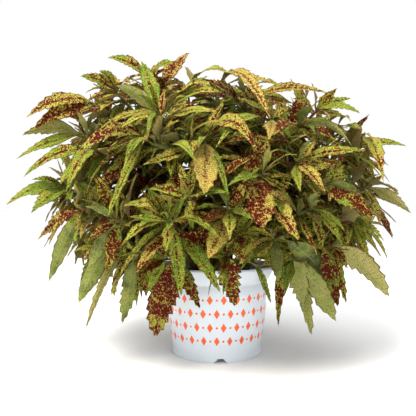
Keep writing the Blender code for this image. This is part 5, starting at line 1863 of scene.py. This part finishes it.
def follow(radius, height, rings):
    """Extrudes the selected cap through rings given in millimetres."""
    for next_radius, next_height in rings:
        bpy.ops.mesh.extrude_region_move(
            TRANSFORM_OT_translate={"value": (0.0, 0.0, next_height * MM - height)})
        share = next_radius * MM / radius
        bpy.ops.transform.resize(value=(share, share, 1.0), center_override=(0.0, 0.0, 0.0))
        radius, height = next_radius * MM, next_height * MM


def apply_modifier(obj, name, kind, **settings):
    modifier = obj.modifiers.new(name, kind)
    for setting, value in settings.items():
        setattr(modifier, setting, value)
    bpy.ops.object.select_all(action="DESELECT")
    bpy.context.view_layer.objects.active = obj
    obj.select_set(True)
    bpy.ops.object.modifier_apply(modifier=name)


def notch_cutter(bearing):
    """A wedge across the foot, 22 mm wide on the ground and 7 mm wide at its top."""
    bpy.ops.mesh.primitive_cube_add(size=1.0)
    wedge = bpy.context.object
    bpy.ops.object.mode_set(mode="EDIT")
    bpy.ops.transform.resize(value=NOTCH_SIZES)
    bpy.ops.transform.translate(value=NOTCH_MIDDLE)
    select_cap(wedge, 1)
    bpy.ops.transform.resize(value=(NOTCH_TOP_SHARE, 1.0, 1.0))
    bpy.ops.object.mode_set(mode="OBJECT")
    wedge.rotation_euler.z = math.radians(bearing)
    return wedge


def drain_cutter(bearing):
    angle = math.radians(bearing)
    middle = (math.sin(angle) * DRAIN_HOLES_FROM_AXIS,
              -math.cos(angle) * DRAIN_HOLES_FROM_AXIS, FLOOR_MIDDLE)
    bpy.ops.mesh.primitive_cylinder_add(vertices=32, radius=DRAIN_HOLE_RADIUS, depth=6.0 * MM,
                                        location=middle)
    return bpy.context.object


# %% Model the pot
bpy.ops.object.select_all(action="DESELECT")
bpy.ops.mesh.primitive_cylinder_add(vertices=POT_SIDES, radius=FOOT_RADIUS, depth=1.0 * MM,
                                    location=(0.0, 0.0, 0.0))
pot = bpy.context.object
pot.name = "nursery_pot"
bpy.ops.object.mode_set(mode="EDIT")
bpy.ops.mesh.select_all(action="SELECT")
bpy.ops.transform.translate(value=(0.0, 0.0, 0.5 * MM))
bpy.ops.mesh.select_mode(type="FACE")
select_cap(pot, 1)
follow(FOOT_RADIUS, 1.0 * MM, OUTSIDE + INSIDE)
select_cap(pot, -1)
follow(FOOT_RADIUS, 0.0, UNDERSIDE)
bpy.ops.object.mode_set(mode="OBJECT")
for bearing in NOTCH_BEARINGS:
    for cutter in (notch_cutter(bearing), drain_cutter(bearing + DRAIN_FROM_NOTCH)):
        apply_modifier(pot, "cut", "BOOLEAN", operation="DIFFERENCE", object=cutter, solver="EXACT")
        bpy.data.objects.remove(cutter, do_unlink=True)
apply_modifier(pot, "soft_edges", "BEVEL", width=0.35 * MM, segments=2, limit_method="ANGLE",
               angle_limit=math.radians(50.0))
pot.data.shade_smooth()
pot.data.set_sharp_from_angle(angle=math.radians(40.0))
print("pot", len(pot.data.polygons), "faces, size",
      [round(side / MM, 1) for side in pot.dimensions], "mm")

# %% [markdown]
# ## The pot's plastic and its print
# White polypropylene with a cool cast: satin, roughness 0.32 to 0.44 and an index of 1.49. Its
# mould leaves a faint orange-peel surface. The print is one orange ink, screened round the
# wall: four staggered rows of lozenges with dots between. It is worked out from the bearing
# round the axis and the height, in millimetres, so it keeps its scale on a shape that has no
# unwrapping.

# %% The print
PRINT_FROM = 20.0
PRINT_ROW = 18.0
PRINT_ROWS = 4
PRINT_AROUND = 24
LOZENGE_WIDTH = 7.6
LOZENGE_HEIGHT = 12.5
DOT_RADIUS = 1.5
PRINT_RADIUS = 67.0
PRINT_CELL = math.tau * PRINT_RADIUS / PRINT_AROUND


def cell_places(add, position):
    """How many millimetres a point is across and up from its cell's middle, and its row."""
    x, y, z = add("SeparateXYZ", (position,)).node.outputs
    back = add("Math", (y, -1.0), **TIMES)
    bearing = add("Math", (x, back), operation="ARCTAN2")
    around = add("Math", (bearing, PRINT_AROUND / math.tau, PRINT_AROUND / 2 + 0.5), **TIMES_PLUS)
    row = add("Math", (z, 1.0 / MM / PRINT_ROW, -PRINT_FROM / PRINT_ROW), **TIMES_PLUS)
    odd = add("Math", (add("Math", (row,), operation="FLOOR"), 2.0), operation="MODULO")
    around = add("Math", (odd, 0.5, around), **TIMES_PLUS)
    far = []
    for place, size in ((around, PRINT_CELL), (row, PRINT_ROW)):
        share = add("Math", (add("Math", (place,), operation="FRACT"), 0.5), **MINUS)
        share = add("Math", (share,), operation="ABSOLUTE")
        far.append(add("Math", (share, size), **TIMES))
    return *far, row


def print_pattern(add, position):
    """1 where the ink is: lozenges in the cells' middles, and dots between them."""
    across, up, row = cell_places(add, position)
    slope = add("Math", (up, 2.0 / LOZENGE_HEIGHT), **TIMES)
    slope = add("Math", (across, 2.0 / LOZENGE_WIDTH, slope), **TIMES_PLUS)
    lozenge = add("MapRange", (slope, 0.98, 1.02, 1.0, 0.0), **SMOOTH)
    aside = add("Math", (PRINT_CELL / 2, across), **MINUS)
    from_corner = add("CombineXYZ", {"X": aside, "Y": up})
    far = add("VectorMath", (from_corner,), "Value", operation="LENGTH")
    dot = add("MapRange", (far, DOT_RADIUS - 0.08, DOT_RADIUS + 0.08, 1.0, 0.0), **SMOOTH)
    shape = add("Math", (lozenge, dot), operation="MAXIMUM")
    inside = add("Math", (row, PRINT_ROWS / 2, PRINT_ROWS / 2), operation="COMPARE")
    return add("Math", (shape, inside), **TIMES)


# %% Pot material
def on_outer_side(add, position):
    """1 on the wall's outer side, and 0 inside the pot."""
    flat = add("VectorMath", (position, (1.0, 1.0, 0.0)), **TIMES)
    radius = add("VectorMath", (flat,), "Value", operation="LENGTH")
    height = add("SeparateXYZ", (position,), "Z")
    least = add("MapRange", (height, 8.5 * MM, 103.0 * MM, 61.2 * MM, 70.0 * MM))
    return add("Math", (radius, least), operation="GREATER_THAN")


def make_pot_look():
    made, add, shader = new_material("white_polypropylene", IOR=1.49)
    position = add("TexCoord", output="Object")
    peel = add("TexNoise", {"Vector": position, "Scale": 900.0})
    smudge = add("TexNoise", {"Vector": position, "Scale": 28.0, "Detail": 3.0, "Roughness": 0.6})
    dull = add("MapRange", (smudge, 0.45, 0.80, 0.0, 0.5), **SMOOTH)
    white = {0: dull, FIRST: linear("#CBD3DB"), SECOND: linear("#C2C9CF")}
    white = add("Mix", white, MIXED, **COLOURS)
    printed, outside = print_pattern(add, position), on_outer_side(add, position)
    ink = add("Math", (printed, outside), **TIMES)
    wear = add("MapRange", (peel, 0.20, 0.34, 0.75, 1.0), **SMOOTH)
    ink = add("Math", (ink, wear), **TIMES)
    base = add("Mix", {0: ink, FIRST: white, SECOND: linear("#E05600")}, MIXED, **COLOURS)
    set_input(shader, "Base Color", base)
    rough = add("MapRange", (smudge, 0.3, 0.8, 0.32, 0.44), **SMOOTH)
    set_input(shader, "Roughness", add("Math", (ink, 0.06, rough), **TIMES_PLUS))
    relief = add("Math", (peel, 0.5, ink), **TIMES_PLUS)
    bump = add("Bump", {"Height": relief, "Distance": 0.03 * MM, "Strength": 0.4})
    set_input(shader, "Normal", bump)
    return made


pot.data.materials.clear()
pot.data.materials.append(make_pot_look())
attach(pot, "root")
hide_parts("pot")

# %% [markdown]
# ## The soil
# Peat-based potting mix is dark brown, loose and matt, with fibres, crumbs and white grains of
# perlite. The plug is a cylinder whose cap is extruded to the pot's inner side. Its top is inset
# in rings, and a Displace modifier roughens it. Crumbs and grains are small stones, copied and
# half sunk into it.

# %% Model the soil
SOIL_SIDES = 72
SOIL_FOOT_RADIUS = 60.0 * MM
SOIL_FOOT = 8.6 * MM
SOIL_SIDE = ((66.4, 49.0), (68.8, 100.0), (68.9, 103.7), (72.2, 106.6), (73.2, 108.2))
SOIL_EDGE = SOIL_SIDE[-1]
SOIL_TOP = 111.5
SOIL_FALL = 3.0

bpy.ops.object.select_all(action="DESELECT")
bpy.ops.mesh.primitive_cylinder_add(vertices=SOIL_SIDES, radius=SOIL_FOOT_RADIUS,
                                    depth=1.0 * MM, location=(0.0, 0.0, 0.0))
soil = bpy.context.object
soil.name = "potting_mix"
bpy.ops.object.mode_set(mode="EDIT")
bpy.ops.mesh.select_all(action="SELECT")
bpy.ops.transform.translate(value=(0.0, 0.0, SOIL_FOOT))
bpy.ops.mesh.select_mode(type="FACE")
select_cap(soil, 1)
follow(SOIL_FOOT_RADIUS, 9.1 * MM, SOIL_SIDE)
inner_rings = [(radius, SOIL_TOP - SOIL_FALL * (radius / SOIL_EDGE[0]) ** 2)
               for radius in np.linspace(71.0, 2.0, 30)]
follow(SOIL_EDGE[0] * MM, SOIL_EDGE[1] * MM, inner_rings)
bpy.ops.object.mode_set(mode="OBJECT")
top = soil.vertex_groups.new(name="top")
top.add([v.index for v in soil.data.vertices if v.co.z > 108.4 * MM], 1.0, "REPLACE")
peat_cloud = bpy.data.textures.new("peat_cloud", "CLOUDS")
peat_cloud.noise_scale = 6.0 * MM
peat_cloud.noise_depth = 4
apply_modifier(soil, "lumps", "DISPLACE", texture=peat_cloud, strength=3.2 * MM, mid_level=0.55,
               direction="Z", vertex_group="top")
soil.data.shade_smooth()
print("soil", len(soil.data.polygons), "faces")


def stone_template(subdivisions):
    """A rough stone of unit size, as arrays."""
    bpy.ops.object.select_all(action="DESELECT")
    bpy.ops.mesh.primitive_ico_sphere_add(subdivisions=subdivisions, radius=1.0)
    return template_from(bpy.context.object, whole_rows=False)


def scattered(name, template, count, sizes, squash, seed, look):
    """Copies of a stone on the soil, each turned, squashed and roughened in its own way."""
    draw = random.Random(seed)
    tree = BVHTree.FromObject(soil, bpy.context.evaluated_depsgraph_get())
    shape = np.stack([template.across, template.row, template.layer], axis=1)
    copies = []
    while len(copies) < count:
        angle, share = draw.uniform(0.0, math.tau), math.sqrt(draw.random())
        place_xy = Vector((math.cos(angle), math.sin(angle), 0.0)) * share * 71.0 * MM
        hit = tree.ray_cast(place_xy + UP * 130.0 * MM, -UP)[0]
        size = draw.uniform(*sizes) * MM
        turned = Quaternion(Vector((draw.random(), draw.random(), draw.random())).normalized(),
                            draw.uniform(0.0, math.tau)).to_matrix()
        rough = shape * np.array([[draw.uniform(0.75, 1.2)] for _ in shape])
        points = rough * (1.0, squash, draw.uniform(0.6, 1.0)) @ np.array(turned).T * size
        copies.append(Piece(points + np.array(hit) + (0.0, 0.0, 0.25 * size), template,
                            shape[:, :2], shape[:, :2], (0.0, 0.0, 0.0, 1.0)))
    obj = bpy.data.objects.new(name, mesh_of(name, copies))
    bpy.context.scene.collection.objects.link(obj)
    obj.data.materials.append(look)
    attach(obj, "root")
    print(name, count, "grains,", len(obj.data.polygons), "faces")


# %% [markdown]
# ## Peat and perlite
# Peat is fully matt, and perlite is foamed glass: off-white, dull, and pitted. One noise gives
# each its colour and its bump, so both are darker in the hollows of the bump, the peat nearly
# black there and reddish brown on its high fibres.

# %% Soil materials
def make_grains_look(name, dark, light, scale, roughness):
    made, add, shader = new_material(name, Roughness=roughness, IOR=1.45, Specular_IOR_Level=0.2)
    position = add("TexCoord", output="Object")
    grain = add("TexNoise", {"Vector": position, "Scale": scale, "Detail": 4.0, "Roughness": 0.65})
    set_input(shader, "Base Color", add("ValToRGB", (grain,), stops=((0.35, dark), (0.70, light))))
    bump = add("Bump", {"Height": grain, "Distance": 0.8 * MM, "Strength": 0.9})
    set_input(shader, "Normal", bump)
    return made


peat_look = make_grains_look("damp_peat", "#17100A", "#4E3826", 450.0, 0.95)
perlite_look = make_grains_look("perlite", "#B8B4A6", "#F1EFE6", 700.0, 0.85)
soil.data.materials.clear()
soil.data.materials.append(peat_look)
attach(soil, "root")
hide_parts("soil")
stone = stone_template(1)
scattered("peat_crumbs", stone, 420, (0.8, 2.6), 0.8, 31, peat_look)
scattered("perlite_grains", stone, 130, (0.7, 1.9), 0.9, 32, perlite_look)

# %% [markdown]
# The dressed plant has to stay inside the CAD model's box, but for about 3% of each side. The
# last cell works out the corners of two boxes: the CAD model's and the dressed plant's.

# %% The two boxes
[[list(corner) for corner in box] for box in (cad_box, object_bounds())]
